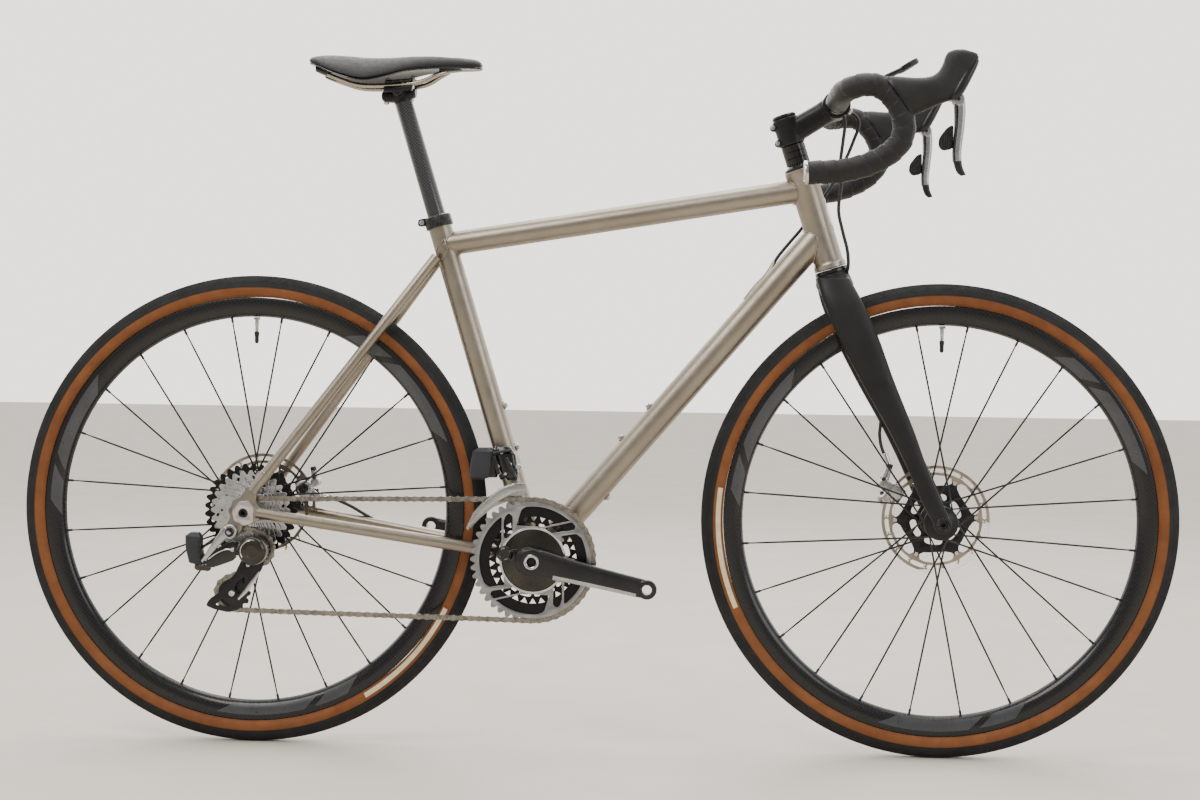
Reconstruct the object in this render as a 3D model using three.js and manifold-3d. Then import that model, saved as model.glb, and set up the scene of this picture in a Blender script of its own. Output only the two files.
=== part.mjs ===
// Road bicycle with disc brakes: +X points forward, +Y to the rider's left, +Z up, millimetres.
// The origin is on the ground, midway between the two tyre contacts.
import * as THREE from "three";
import { mergeVertices } from "three/addons/utils/BufferGeometryUtils.js";
import Module from "manifold-3d";

const wasm = await Module();
wasm.setup();

// ---- driving dimensions ----
const FIT = 0.35; // gap kept between touching pieces
const wheelbase = 1014.8;
const tyreRadius = 348;
const tyreHalfWidth = 18.7;
const rimOuterRadius = 315.7;
const rimInnerRadius = 287;
const wheelFacets = 32;
const tubeSides = 14;
const spokesPerSide = 12;
const flangeRadius = 25;
const rotorRadius = 80;
const rotorThickness = 1.8;
const frontRotorY = 40;
const rearRotorY = 55;
const axleRadius = 6;
const seatTubeAngle = THREE.MathUtils.degToRad(73);
const headAngle = THREE.MathUtils.degToRad(72);
const seatTubeRadius = 17.25;
const topTubeRadius = 17.25;
const downTubeRadius = 20.25;
const chainstayRadius = 9.5;
const chainstayRearRadius = 7.8;
const seatstayRadius = 8;
const shellRadius = 24;
const shellHalfWidth = 36.5;
const steererRadius = 14.3;
const seatpostRadius = 13.6;
const barRadius = 15.9;
const hoseRadius = 2.5;
const railRadius = 3.5;
const crankLength = 172;
const crankAngle = THREE.MathUtils.degToRad(12);
const spindleRadius = 14.5;
const chainPitch = 12.7;
const bigRingTeeth = 44;
const smallRingTeeth = 30;
const pulleyTeeth = 12;
const smallCogTeeth = 10;
const largeCogTeeth = 33;
const bigRingY = -50;
const smallRingY = -42.6;
const smallCogY = -66;
const largeCogY = -27;
const shiftDirection = new THREE.Vector3(0, 0.655, -0.756).normalize();
const linkLength = 57;
const linkRestAngle = THREE.MathUtils.degToRad(31.5);

// ---- reference points ----
const v = (x, y, z) => new THREE.Vector3(x, y, z);
const rearAxle = v(-wheelbase / 2, 0, tyreRadius);
const frontAxle = v(wheelbase / 2, 0, tyreRadius);
const bottomBracket = v(-85, 0, 284.3);
const headsetFoot = v(343.6, 0, 716.1);
const headAxis = v(-Math.cos(headAngle), 0, Math.sin(headAngle));
const seatAxis = v(-Math.cos(seatTubeAngle), 0, Math.sin(seatTubeAngle));
const barCentre = v(346.5, 0, 954);
const guidePulley = v(-490.5, smallCogY, 294.5);
const tensionPulley = v(-524.8, smallCogY, 229.4);
const hangerEye = v(-524, -75, 321.4);
const leverPivot = v(500, 206, 940);

const alongHead = (s) => headsetFoot.clone().addScaledVector(headAxis, s);
const alongSeat = (s) => bottomBracket.clone().addScaledVector(seatAxis, s);
const pitchRadius = (teeth) => chainPitch / (2 * Math.sin(Math.PI / teeth));
const mirrored = (p) => v(p.x, -p.y, p.z);

// ---- solids from three.js geometry ----
function welded(geometry) {
  const bare = geometry.clone();
  bare.deleteAttribute("normal");
  bare.deleteAttribute("uv");
  return mergeVertices(bare, 1e-3);
}

function signedVolume(position, index) {
  const [a, b, c] = [v(0, 0, 0), v(0, 0, 0), v(0, 0, 0)];
  let total = 0;
  for (let i = 0; i < index.length; i += 3) {
    a.fromBufferAttribute(position, index[i]);
    b.fromBufferAttribute(position, index[i + 1]);
    c.fromBufferAttribute(position, index[i + 2]);
    total += a.dot(b.cross(c));
  }
  return total / 6;
}

function solidOf(geometry) {
  const mesh = welded(geometry);
  const position = mesh.attributes.position;
  const source = Array.from(mesh.index.array);
  const flip = signedVolume(position, source) < 0;
  const triVerts = [];
  for (let i = 0; i < source.length; i += 3) {
    const [p, q, r] = source.slice(i, i + 3);
    const real = p !== q && q !== r && r !== p;
    if (real) triVerts.push(p, flip ? r : q, flip ? q : r);
  }
  return new wasm.Manifold(new wasm.Mesh({
    numProp: 3,
    vertProperties: Float32Array.from(position.array),
    triVerts: Uint32Array.from(triVerts),
  }));
}

// Vertices nearer than a few microns are joined, which removes the slivers left by cuts.
function geometryOf(solid) {
  const { vertProperties, triVerts } = solid.getMesh();
  const cut = new THREE.BufferGeometry();
  cut.setAttribute("position", new THREE.BufferAttribute(vertProperties, 3));
  cut.setIndex(new THREE.BufferAttribute(triVerts, 1));
  const geometry = mergeVertices(cut, 4e-3);
  const index = Array.from(geometry.index.array);
  const kept = [];
  for (let i = 0; i < index.length; i += 3) {
    const [p, q, r] = index.slice(i, i + 3);
    if (p !== q && q !== r && r !== p) kept.push(p, q, r);
  }
  geometry.setIndex(kept);
  geometry.computeVertexNormals();
  return geometry;
}

// A straight round bar from one point to another, tapering if the radii differ.
function rod(from, to, radius, sides = 16, endRadius = radius) {
  const axis = to.clone().sub(from);
  const geometry = welded(new THREE.CylinderGeometry(endRadius, radius, axis.length(), sides));
  geometry.translate(0, axis.length() / 2, 0);
  const turn = new THREE.Quaternion().setFromUnitVectors(v(0, 1, 0), axis.normalize());
  geometry.applyQuaternion(turn);
  geometry.translate(from.x, from.y, from.z);
  return solidOf(geometry);
}

function pipe(from, to, radius, boreRadius, sides = 16) {
  const axis = to.clone().sub(from).normalize();
  const start = from.clone().addScaledVector(axis, -5);
  const end = to.clone().addScaledVector(axis, 5);
  return rod(from, to, radius, sides).subtract(rod(start, end, boreRadius, sides));
}

// A closed [radius, height] profile turned about the axis through origin.
function turned(profile, segments, origin = v(0, 0, 0), axis = v(0, 1, 0)) {
  const points = [...profile, profile[0]].map(([r, h]) => new THREE.Vector2(r, h));
  const geometry = welded(new THREE.LatheGeometry(points, segments));
  geometry.applyQuaternion(new THREE.Quaternion().setFromUnitVectors(v(0, 1, 0), axis));
  geometry.translate(origin.x, origin.y, origin.z);
  return solidOf(geometry);
}

function box(low, high) {
  const size = high.clone().sub(low);
  const geometry = new THREE.BoxGeometry(size.x, size.y, size.z);
  const centre = low.clone().add(high).multiplyScalar(0.5);
  geometry.translate(centre.x, centre.y, centre.z);
  return solidOf(geometry);
}

// A flat plate with its outline in the X-Z plane and its thickness from yLow to yHigh.
function plate(outline, yLow, yHigh, holes = []) {
  const toVectors = (list) => list.map(([x, z]) => new THREE.Vector2(x, z));
  const shape = new THREE.Shape(toVectors(outline));
  for (const hole of holes) shape.holes.push(new THREE.Path(toVectors(hole)));
  const settings = { depth: yHigh - yLow, bevelEnabled: false, curveSegments: 1 };
  const geometry = new THREE.ExtrudeGeometry(shape, settings);
  geometry.rotateX(Math.PI / 2);
  geometry.translate(0, yHigh, 0);
  return solidOf(geometry);
}

// A solid through cross-sections, each with a centre and two half-axes.
function loft(sections, sides = 12, squareness = 1) {
  const levels = sections.length - 1;
  const geometry = welded(new THREE.CylinderGeometry(1, 1, 1, sides, levels));
  const position = geometry.attributes.position;
  const bulge = (t) => Math.sign(t) * Math.abs(t) ** squareness;
  for (let i = 0; i < position.count; i += 1) {
    const section = sections[Math.round((0.5 - position.getY(i)) * levels)];
    const point = v(...section.at);
    const across = bulge(position.getX(i));
    point.addScaledVector(v(...section.across), across);
    point.addScaledVector(v(...section.over), bulge(position.getZ(i)));
    point.z -= (section.droop ?? 0) * Math.abs(across) ** 3;
    position.setXYZ(i, point.x, point.y, point.z);
  }
  return solidOf(geometry);
}

// A smooth path whose sample points keep the spacing of its control points.
class GuidedPath extends THREE.CatmullRomCurve3 {
  constructor(points) {
    super(points, false, "centripetal");
  }

  getSpacedPoints(steps) {
    return this.getPoints(steps);
  }

  getTangentAt(t) {
    return this.getTangent(t);
  }
}

function sweep(points, radius, sides, stepsPerSpan = 1) {
  const outline = circle(0, 0, radius, sides).map(([x, y]) => new THREE.Vector2(x, y));
  return solidOf(new THREE.ExtrudeGeometry(new THREE.Shape(outline), {
    steps: (points.length - 1) * stepsPerSpan,
    extrudePath: new GuidedPath(points),
    bevelEnabled: false,
    curveSegments: 1,
  }));
}

function circle(cx, cz, radius, count, start = 0) {
  const points = [];
  for (let i = 0; i < count; i += 1) {
    const angle = start + (2 * Math.PI * i) / count;
    points.push([cx + radius * Math.cos(angle), cz + radius * Math.sin(angle)]);
  }
  return points;
}

function sprocketOutline(teeth, rootDrop = 3.8, tipRise = 2.5) {
  const radius = pitchRadius(teeth);
  const points = [];
  for (let i = 0; i < teeth; i += 1) {
    const angle = (2 * Math.PI * i) / teeth;
    const half = Math.PI / teeth;
    points.push([(radius - rootDrop) * Math.cos(angle), (radius - rootDrop) * Math.sin(angle)]);
    const tip = radius + tipRise;
    points.push([tip * Math.cos(angle + half), tip * Math.sin(angle + half)]);
  }
  return points;
}

const joined = (...solids) => solids.reduce((whole, piece) => whole.add(piece));
const cutBy = (solid, ...tools) => tools.reduce((whole, tool) => whole.subtract(tool), solid);

function addMesh(parent, name, solid, color, roughness, metalness) {
  const material = new THREE.MeshStandardMaterial({ color, roughness, metalness });
  const mesh = new THREE.Mesh(geometryOf(solid), material);
  mesh.name = name;
  parent.add(mesh);
}

const bicycle = new THREE.Group();

// ---- hose routes, which the tubes they pass through are channelled for ----
const rearHoseRoute = [
  v(366, 44, 949), v(377, 43, 947), v(384, 40, 934), v(376, 37, 907), v(364, 34, 878),
  v(343, 31, 838), v(320, 30, 803), v(301, 26, 776), v(281, 16, 752), v(266, 8, 733),
  v(257, 4, 718), v(243, 1, 697), v(218, 0, 662), v(-20, 0, 362), v(-50, 1, 330),
  v(-64, 5, 317.5), v(-75.2, 9, 309.6), v(-85, 13, 304.7), v(-93.4, 16, 302.3),
  v(-100.3, 18.5, 297.2), v(-105.5, 20.5, 292.2), v(-114, 23, 290), v(-132, 25.4, 292),
  v(-200, 34.5, 302.9), v(-280, 45.4, 315.7), v(-318, 50.4, 322.4), v(-345, 54, 334),
  v(-372, 55, 349), v(-392, 55, 358), v(-407, 55, 364),
];
const frontHoseRoute = [
  v(355, -46, 936), v(358, -45, 925), v(356, -41, 900), v(353, -34, 867), v(355, -30, 838),
  v(352, -28, 800), v(359, -27, 768), v(366, -24, 742), v(368, -18, 722), v(366, -9, 708),
  v(364, 5, 697), v(366, 20, 688), v(374, 33, 668), v(391, 42, 625), v(410, 49, 570),
  v(422, 51.5, 525), v(425, 51.5, 495), v(423.5, 50, 470), v(428, 45, 448), v(437, 40, 432),
];
const hoseSolid = (route) => sweep(route, hoseRadius, 8);
const hoseChannel = (route) => sweep(route, hoseRadius + 1, 6);
const rearHoseChannel = hoseChannel(rearHoseRoute);
const frontHoseChannel = hoseChannel(frontHoseRoute);

// ---- frame tubes ----
const frame = new THREE.Group();
bicycle.add(frame);
const titanium = ["#8f8a83", 0.42, 0.9];

const topTubeRear = v(-222, 0, 746.3);
const topTubeFront = v(306, 0, 831.6);
const downTubeFront = v(327, 0, 767.2);
const seatTubeTop = alongSeat(526.5);

const headTubeProfile = [
  [15.3, 0.5], [23.5, 0.5], [23.5, 10], [21.5, 22], [21.5, 132], [23.5, 142], [23.5, 152],
  [15.3, 152],
];
const headTube = turned(headTubeProfile, 16, headsetFoot, headAxis);
addMesh(frame, "head_tube", headTube, ...titanium);

const headTubeKeepOut = rod(alongHead(-2), alongHead(156), 23.5 + FIT, 16);
const seatTubeKeepOut = rod(bottomBracket, alongSeat(560), seatTubeRadius + FIT, tubeSides);

const topTubeKeepOut = rod(topTubeRear, topTubeFront, topTubeRadius + FIT, tubeSides);
const shellKeepOut = rod(v(-85, -60, 284.3), v(-85, 60, 284.3), shellRadius + FIT, 16);

function stud(at, direction, radius, height) {
  return rod(at, at.clone().addScaledVector(direction, height), radius, 6);
}

const topTube = cutBy(
  pipe(topTubeRear, topTubeFront, topTubeRadius, topTubeRadius - 1.6, tubeSides),
  seatTubeKeepOut,
  headTubeKeepOut,
);
addMesh(frame, "top_tube", topTube, ...titanium);

// The down tube carries two bottle studs on top, one underneath, and the rear hose port.
const downTubeDirection = downTubeFront.clone().sub(bottomBracket).normalize();
const downTubeUp = v(-downTubeDirection.z, 0, downTubeDirection.x);
const alongDown = (s) => bottomBracket.clone().addScaledVector(downTubeDirection, s);
const onDownTube = (s, side) => alongDown(s).addScaledVector(downTubeUp, side * downTubeRadius * 0.98);
const downTubeBore = rod(alongDown(-5), alongDown(660), downTubeRadius - 1.8, tubeSides);
const downTube = cutBy(
  joined(
    rod(bottomBracket, downTubeFront, downTubeRadius, tubeSides),
    stud(onDownTube(279, 1), downTubeUp, 5.5, 2.6),
    stud(onDownTube(217, 1), downTubeUp, 5.5, 2.6),
    stud(onDownTube(137, -1), downTubeUp.clone().negate(), 5.5, 2.6),
    rod(v(251, 3, 700), v(262.5, 6.5, 726), 6, 10),
  ),
  downTubeBore,
  shellKeepOut,
  seatTubeKeepOut,
  headTubeKeepOut,
  rearHoseChannel,
);
addMesh(frame, "down_tube", downTube, ...titanium);

const seatTubeFace = v(seatAxis.z, 0, -seatAxis.x);
const onSeatTube = (s) => alongSeat(s).addScaledVector(seatTubeFace, seatTubeRadius * 0.98);
const seatTube = cutBy(
  joined(
    rod(bottomBracket, seatTubeTop, seatTubeRadius, tubeSides),
    stud(onSeatTube(165), seatTubeFace, 5.5, 2.6),
    stud(onSeatTube(229), seatTubeFace, 5.5, 2.6),
  ),
  rod(alongSeat(-5), alongSeat(540), seatpostRadius + 0.7, tubeSides),
  shellKeepOut,
  rearHoseChannel,
);
addMesh(frame, "seat_tube", seatTube, ...titanium);

const shell = cutBy(
  rod(v(-85, -shellHalfWidth, 284.3), v(-85, shellHalfWidth, 284.3), shellRadius, 16),
  rod(v(-85, -50, 284.3), v(-85, 50, 284.3), spindleRadius + 1, 16),
  rearHoseChannel,
);
addMesh(frame, "bottom_bracket_shell", shell, "#85807a", 0.45, 0.9);

const stayFront = v(-100, 21, 287);
const stayRear = v(-489, 76, 348.6);
const seatstayTop = v(-236, 16.5, 727);
const seatstayFoot = v(-496, 74, 378.5);

function chainstay(side) {
  const flip = side > 0 ? (p) => p.clone() : mirrored;
  const [front, rear] = [flip(stayFront), flip(stayRear)];
  const outside = rod(front, rear, chainstayRadius, tubeSides, chainstayRearRadius);
  const along = rear.clone().sub(front).normalize();
  const boreEnd = rear.clone().addScaledVector(along, 5);
  const bore = rod(front.clone().addScaledVector(along, -5), boreEnd, chainstayRadius - 1.6, tubeSides,
    chainstayRearRadius - 1.6);
  return cutBy(outside, bore, shellKeepOut);
}

function seatstay(side) {
  const flip = side > 0 ? (p) => p.clone() : mirrored;
  const tube = pipe(flip(seatstayFoot), flip(seatstayTop), seatstayRadius, seatstayRadius - 1.4, 12);
  return cutBy(tube, seatTubeKeepOut, topTubeKeepOut);
}

addMesh(frame, "chainstay_right", chainstay(-1), ...titanium);
addMesh(frame, "chainstay_left", cutBy(chainstay(1), rearHoseChannel), ...titanium);
addMesh(frame, "seatstay_right", seatstay(-1), ...titanium);
addMesh(frame, "seatstay_left", seatstay(1), ...titanium);

// Dropouts: the right one carries the derailleur hanger eye.
const dropoutOutline = [
  [-524, 351], [-521, 336], [-507, 329], [-494, 333], [-484, 338], [-484, 358], [-489, 366],
  [-487, 384], [-501, 388], [-511, 372], [-521, 364],
];
const hangerOutline = [
  [-524, 351], [-521, 345], [-507, 329], [-513.5, 316], [-519, 311.5], [-529, 311.5],
  [-534, 318], [-534, 326], [-527, 341],
];

function dropout(side) {
  const flip = side > 0 ? (p) => p.clone() : mirrored;
  const [yLow, yHigh] = side > 0 ? [71, 79] : [-79, -71];
  const body = plate(dropoutOutline, yLow, yHigh);
  const whole = side > 0 ? body : body.add(plate(hangerOutline, yLow, yHigh));
  const stayEnd = flip(stayRear).add(v(-0.6, 0, 0.1));
  const footEnd = flip(seatstayFoot).add(v(-0.4, 0, -0.5));
  return cutBy(
    whole,
    rod(v(rearAxle.x, yLow - 5, rearAxle.z), v(rearAxle.x, yHigh + 5, rearAxle.z), axleRadius + 0.5, 12),
    rod(flip(stayFront), stayEnd, chainstayRadius + FIT, 12, chainstayRearRadius + FIT),
    rod(footEnd, flip(seatstayTop), seatstayRadius + FIT, 12),
  );
}

addMesh(frame, "dropout_right", dropout(-1), "#a39b90", 0.4, 0.92);
addMesh(frame, "dropout_left", dropout(1), "#a39b90", 0.4, 0.92);

// Upper headset cover, a shallow cone on top of the head tube.
const coverProfile = [[15, 152.4], [22.5, 152.4], [22, 156], [18, 159.8], [15, 159.8]];
addMesh(frame, "headset_cover", turned(coverProfile, 14, headsetFoot, headAxis), "#16171a", 0.35, 0.4);

// Seat clamp: a split-looking collar with one bolt ear behind.
const collarLow = 509;
const collar = cutBy(
  joined(
    rod(alongSeat(collarLow), alongSeat(collarLow + 17), seatTubeRadius + 3.4, 14),
    box(v(-265, -8, 771), v(-249, 8, 782)),
  ),
  rod(alongSeat(collarLow - 9), alongSeat(collarLow + 40), seatTubeRadius + 0.5, 14),
);
addMesh(frame, "seat_clamp", collar, "#a09a92", 0.4, 0.9);

// ---- rear and front hoses, calipers and pads ----
addMesh(frame, "rear_hose", hoseSolid(rearHoseRoute), "#141416", 0.55, 0);

function caliper(low, high, axle, rotorY) {
  const slot = rod(v(axle.x, rotorY - 4.2, axle.z), v(axle.x, rotorY + 4.2, axle.z), rotorRadius + 2.5, 32);
  const centre = low.clone().add(high).multiplyScalar(0.5);
  const half = high.clone().sub(low).multiplyScalar(0.5);
  const body = [-1, -0.7, 0, 0.7, 1].map((t) => ({
    at: [centre.x, centre.y + half.y * t, centre.z],
    across: [half.x * (1 - 0.28 * Math.abs(t) ** 3), 0, 0],
    over: [0, 0, half.z * (1 - 0.28 * Math.abs(t) ** 3)],
  }));
  return loft(body, 12, 0.55).subtract(slot);
}

const rearCaliper = caliper(v(-455, 42, 354.5), v(-409, 69, 410), rearAxle, rearRotorY);
addMesh(frame, "rear_caliper", rearCaliper.subtract(rearHoseChannel), "#8d8f92", 0.35, 0.85);

function brakePad(axle, angle, yLow, yHigh) {
  const inner = 60;
  const outer = 80;
  const spread = 0.17;
  const corner = (r, a) => [axle.x + r * Math.cos(a), axle.z + r * Math.sin(a)];
  const outline = [
    corner(inner, angle - spread), corner(outer, angle - spread), corner(outer, angle),
    corner(outer, angle + spread), corner(inner, angle + spread),
  ];
  return plate(outline, yLow, yHigh);
}

const padThickness = 2.4;
const padGap = rotorThickness / 2 + 0.6;
function addPads(parent, prefix, axle, angle, rotorY) {
  const right = brakePad(axle, angle, rotorY - padGap - padThickness, rotorY - padGap);
  const left = brakePad(axle, angle, rotorY + padGap, rotorY + padGap + padThickness);
  addMesh(parent, `${prefix}_pad_right`, right, "#4b4743", 0.7, 0.3);
  addMesh(parent, `${prefix}_pad_left`, left, "#4b4743", 0.7, 0.3);
}

addPads(frame, "rear", rearAxle, 0.5, rearRotorY);

const rearAxleSolid = joined(
  rod(v(rearAxle.x, -78, rearAxle.z), v(rearAxle.x, 80, rearAxle.z), axleRadius, 12),
  rod(v(rearAxle.x, 79.4, rearAxle.z), v(rearAxle.x, 83, rearAxle.z), 10, 12),
);
addMesh(frame, "rear_axle", rearAxleSolid, "#2a2b2d", 0.4, 0.8);

// ---- seatpost and saddle ----
const seatPart = new THREE.Group();
bicycle.add(seatPart);
const postFoot = alongSeat(380);
const postHead = alongSeat(699);
addMesh(seatPart, "seatpost", pipe(postFoot, postHead, seatpostRadius, 11.4, 14), "#2b2b2d", 0.3, 0.2);

const railHalf = [v(-409, 36, 996), v(-388, 32, 988), v(-360, 24, 979), v(-338, 22, 977),
  v(-272, 22, 981), v(-254, 20, 986), v(-236, 14, 996), v(-225, 6, 1000)];
const railPath = [...railHalf, ...railHalf.map(mirrored).reverse()];
addMesh(seatPart, "saddle_rails", sweep(railPath, railRadius, 8), "#7d7468", 0.3, 0.95);

const clampHead = cutBy(
  joined(
    loft([
      { at: [-319, 0, 972], across: [0, 24, 0], over: [0, 0, 6] },
      { at: [-312, 0, 975], across: [0, 28.5, 0], over: [0, 0, 9] },
      { at: [-276, 0, 977.5], across: [0, 28.5, 0], over: [0, 0, 9] },
      { at: [-268, 0, 979], across: [0, 24, 0], over: [0, 0, 6] },
    ], 12, 0.6),
    rod(alongSeat(699.5), alongSeat(722), 13.4, 12),
  ),
  sweep(railPath, railRadius + 0.4, 8),
);
addMesh(seatPart, "saddle_clamp", clampHead, "#1b1c1e", 0.35, 0.6);

const saddleSections = [
  [-424, 1011.5, 38, 5, 0], [-416, 1011.5, 56, 8, 4], [-398, 1011, 68, 9.5, 14],
  [-370, 1010.5, 73, 9, 24], [-338, 1010, 70, 8.6, 27], [-308, 1010.5, 57, 8.8, 20],
  [-278, 1012, 40, 9.3, 12], [-250, 1013, 28, 9.6, 8], [-220, 1013, 22, 9, 5],
  [-192, 1011.5, 19, 8, 3], [-176, 1010, 12, 5.5, 1],
].map(([x, z, width, height, droop]) => ({
  at: [x, 0, z],
  across: [0, width, 0],
  over: [0, 0, height],
  droop,
}));
addMesh(seatPart, "saddle", loft(saddleSections, 14, 0.8), "#1a1a1b", 0.5, 0);

// ---- drivetrain: crank, rings, cassette, chain ----
const crank = new THREE.Group();
crank.position.copy(bottomBracket);
crank.rotation.y = crankAngle;
bicycle.add(crank);

function crankArm(side) {
  const arm = loft([
    { at: [-24, side * 68, 0], across: [0, 6, 0], over: [0, 0, 10] },
    { at: [-14, side * 68, 0], across: [0, 8.5, 0], over: [0, 0, 19] },
    { at: [10, side * 68.5, 0], across: [0, 9, 0], over: [0, 0, 20.5] },
    { at: [45, side * 71, 0], across: [0, 8.5, 0], over: [0, 0, 18] },
    { at: [110, side * 76, 0], across: [0, 7.6, 0], over: [0, 0, 15] },
    { at: [165, side * 80, 0], across: [0, 7, 0], over: [0, 0, 14] },
  ], 10, 0.6);
  const eye = rod(v(crankLength, side * 73.4, 0), v(crankLength, side * 87.4, 0), 14.4, 14);
  const hole = rod(v(crankLength, side * 60, 0), v(crankLength, side * 95, 0), 7.1, 10);
  return arm.add(eye).subtract(hole);
}

const spindle = rod(v(0, -66, 0), v(0, 74, 0), spindleRadius, 14);
const spindleBore = rod(v(0, 50, 0), v(0, 90, 0), spindleRadius + 0.8, 14);
addMesh(crank, "crank_arm_right", crankArm(-1).add(spindle), "#1c1d1f", 0.3, 0.3);
const leftTurn = new THREE.Group();
leftTurn.rotation.y = Math.PI;
crank.add(leftTurn);
// Turned half a revolution, this arm's local +X points opposite the right arm.
addMesh(leftTurn, "crank_arm_left", crankArm(1).subtract(spindleBore), "#1c1d1f", 0.3, 0.3);

// Four arms, the first of them turned up from the crank arm by this angle.
const spiderTurn = THREE.MathUtils.degToRad(37);
function spiderOutline(innerRadius, outerRadius) {
  const points = [];
  for (let i = 0; i < 4; i += 1) {
    const angle = spiderTurn + (Math.PI / 2) * i;
    for (const [r, offset] of [[innerRadius, -0.5], [outerRadius, -0.16], [outerRadius, 0.16],
      [innerRadius, 0.5]]) {
      points.push([r * Math.cos(angle + offset), r * Math.sin(angle + offset)]);
    }
  }
  return points;
}

const ringHole = (radius) => [circle(0, 0, radius, 20).reverse()];
const chainrings = joined(
  plate(sprocketOutline(bigRingTeeth), bigRingY - 0.9, bigRingY + 0.9, ringHole(76)),
  plate(circle(0, 0, pitchRadius(smallRingTeeth) + 1, 30), smallRingY - 0.9, smallRingY + 0.9, ringHole(50)),
  plate(spiderOutline(40, 78), -56.6, bigRingY + 0.5, ringHole(16.4)),
  plate(spiderOutline(40, 54), -52, smallRingY + 0.4, ringHole(16.4)),
);
addMesh(crank, "chainrings", chainrings, "#a9abae", 0.35, 0.9);

const cassette = new THREE.Group();
cassette.position.copy(rearAxle);
bicycle.add(cassette);
const cassetteCone = [
  [13, -67.3], [15.4, -67.3], [15.4, -61.6], [22, -61.6], [26, -50], [32, -50], [38, -37],
  [54, -37], [54, -26.4], [13, -26.4],
];
const cassetteSolid = joined(
  turned(cassetteCone, 18),
  plate(sprocketOutline(smallCogTeeth), smallCogY - 0.9, smallCogY + 0.9, ringHole(14)),
  plate(sprocketOutline(largeCogTeeth), largeCogY - 1, largeCogY + 1, ringHole(40)),
);
addMesh(cassette, "cassette", cassetteSolid, "#9b9ea3", 0.3, 0.95);

// Between wheels in different planes the band leaves and arrives straight.
function offsetRun(last, wheel, next, heading) {
  const [dx, dz] = [next.at.x - wheel.at.x, next.at.z - wheel.at.z];
  const length = dx * Math.cos(heading) + dz * Math.sin(heading);
  return [[0.13, wheel.y], [0.87, next.y]].map(([t, y]) => ({
    ...last,
    x: last.x + t * length * Math.cos(heading),
    y,
    z: last.z + t * length * Math.sin(heading),
  }));
}

// The chain is one closed band with a slot inside its loop for the teeth.
function chainStations() {
  const wheels = [
    { at: bottomBracket, y: bigRingY, r: pitchRadius(bigRingTeeth), turn: 1, steps: 16 },
    { at: rearAxle, y: smallCogY, r: pitchRadius(smallCogTeeth), turn: 1, steps: 7 },
    { at: guidePulley, y: smallCogY, r: pitchRadius(pulleyTeeth), turn: -1, steps: 4 },
    { at: tensionPulley, y: smallCogY, r: pitchRadius(pulleyTeeth), turn: 1, steps: 7 },
  ];
  const headings = wheels.map((from, i) => {
    const to = wheels[(i + 1) % wheels.length];
    const dx = to.at.x - from.at.x;
    const dz = to.at.z - from.at.z;
    return Math.atan2(dz, dx) + Math.asin((from.turn * from.r - to.turn * to.r) / Math.hypot(dx, dz));
  });
  const stations = [];
  wheels.forEach((wheel, i) => {
    const arrive = headings[(i + wheels.length - 1) % wheels.length];
    let swing = headings[i] - arrive;
    while (wheel.turn > 0 && swing < 0) swing += 2 * Math.PI;
    while (wheel.turn < 0 && swing > 0) swing -= 2 * Math.PI;
    for (let k = 0; k <= wheel.steps; k += 1) {
      const heading = arrive + (swing * k) / wheel.steps;
      const [nx, nz] = [Math.sin(heading), -Math.cos(heading)];
      stations.push({
        x: wheel.at.x + wheel.turn * wheel.r * nx,
        y: wheel.y,
        z: wheel.at.z + wheel.turn * wheel.r * nz,
        nx,
        nz,
      });
    }
    const next = wheels[(i + 1) % wheels.length];
    if (next.y !== wheel.y) stations.push(...offsetRun(stations.at(-1), wheel, next, headings[i]));
  });
  return stations;
}

function looped(section, stations) {
  const profile = [...section, section[0]].map(([out, side]) => new THREE.Vector2(100 + out, side));
  const geometry = new THREE.LatheGeometry(profile, stations.length);
  const position = geometry.attributes.position;
  for (let i = 0; i < position.count; i += 1) {
    const station = stations[Math.floor(i / profile.length) % stations.length];
    const [out, side] = section[(i % profile.length) % section.length];
    position.setXYZ(i, station.x + out * station.nx, station.y + side, station.z + out * station.nz);
  }
  return solidOf(geometry);
}

const chainSection = [
  [-4.2, -2.65], [4.2, -2.65], [4.2, 2.65], [-4.2, 2.65], [-4.2, 1.5], [3.2, 1.5], [3.2, -1.5],
  [-4.2, -1.5],
];
addMesh(frame, "chain", looped(chainSection, chainStations()), "#b0afae", 0.3, 0.95);

// ---- front derailleur ----
const polar = (radius, degrees) => {
  const angle = THREE.MathUtils.degToRad(degrees);
  return [bottomBracket.x + radius * Math.cos(angle), bottomBracket.z + radius * Math.sin(angle)];
};
const frontDerailleur = joined(
  loft([
    { at: [-118, -32, 402], across: [10, 0, 0], over: [0, 12, 0] },
    { at: [-122, -33, 414], across: [14, 0, 0], over: [0, 14, 0] },
    { at: [-129, -32, 438], across: [17, 0, 0], over: [0, 14, 0] },
    { at: [-132, -31, 450], across: [10, 0, 0], over: [0, 9, 0] },
  ], 10, 0.6),
  loft([
    { at: [-166, -36, 402], across: [9, 0, 0], over: [0, 9, 0] },
    { at: [-162, -36, 406], across: [17, 0, 0], over: [0, 13, 0] },
    { at: [-158, -36, 440], across: [17, 0, 0], over: [0, 13, 0] },
    { at: [-158, -36, 446], across: [10, 0, 0], over: [0, 10, 0] },
  ], 10, 0.6),
).subtract(seatTubeKeepOut);
addMesh(frame, "front_derailleur", frontDerailleur, "#1d1e20", 0.35, 0.4);

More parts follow.
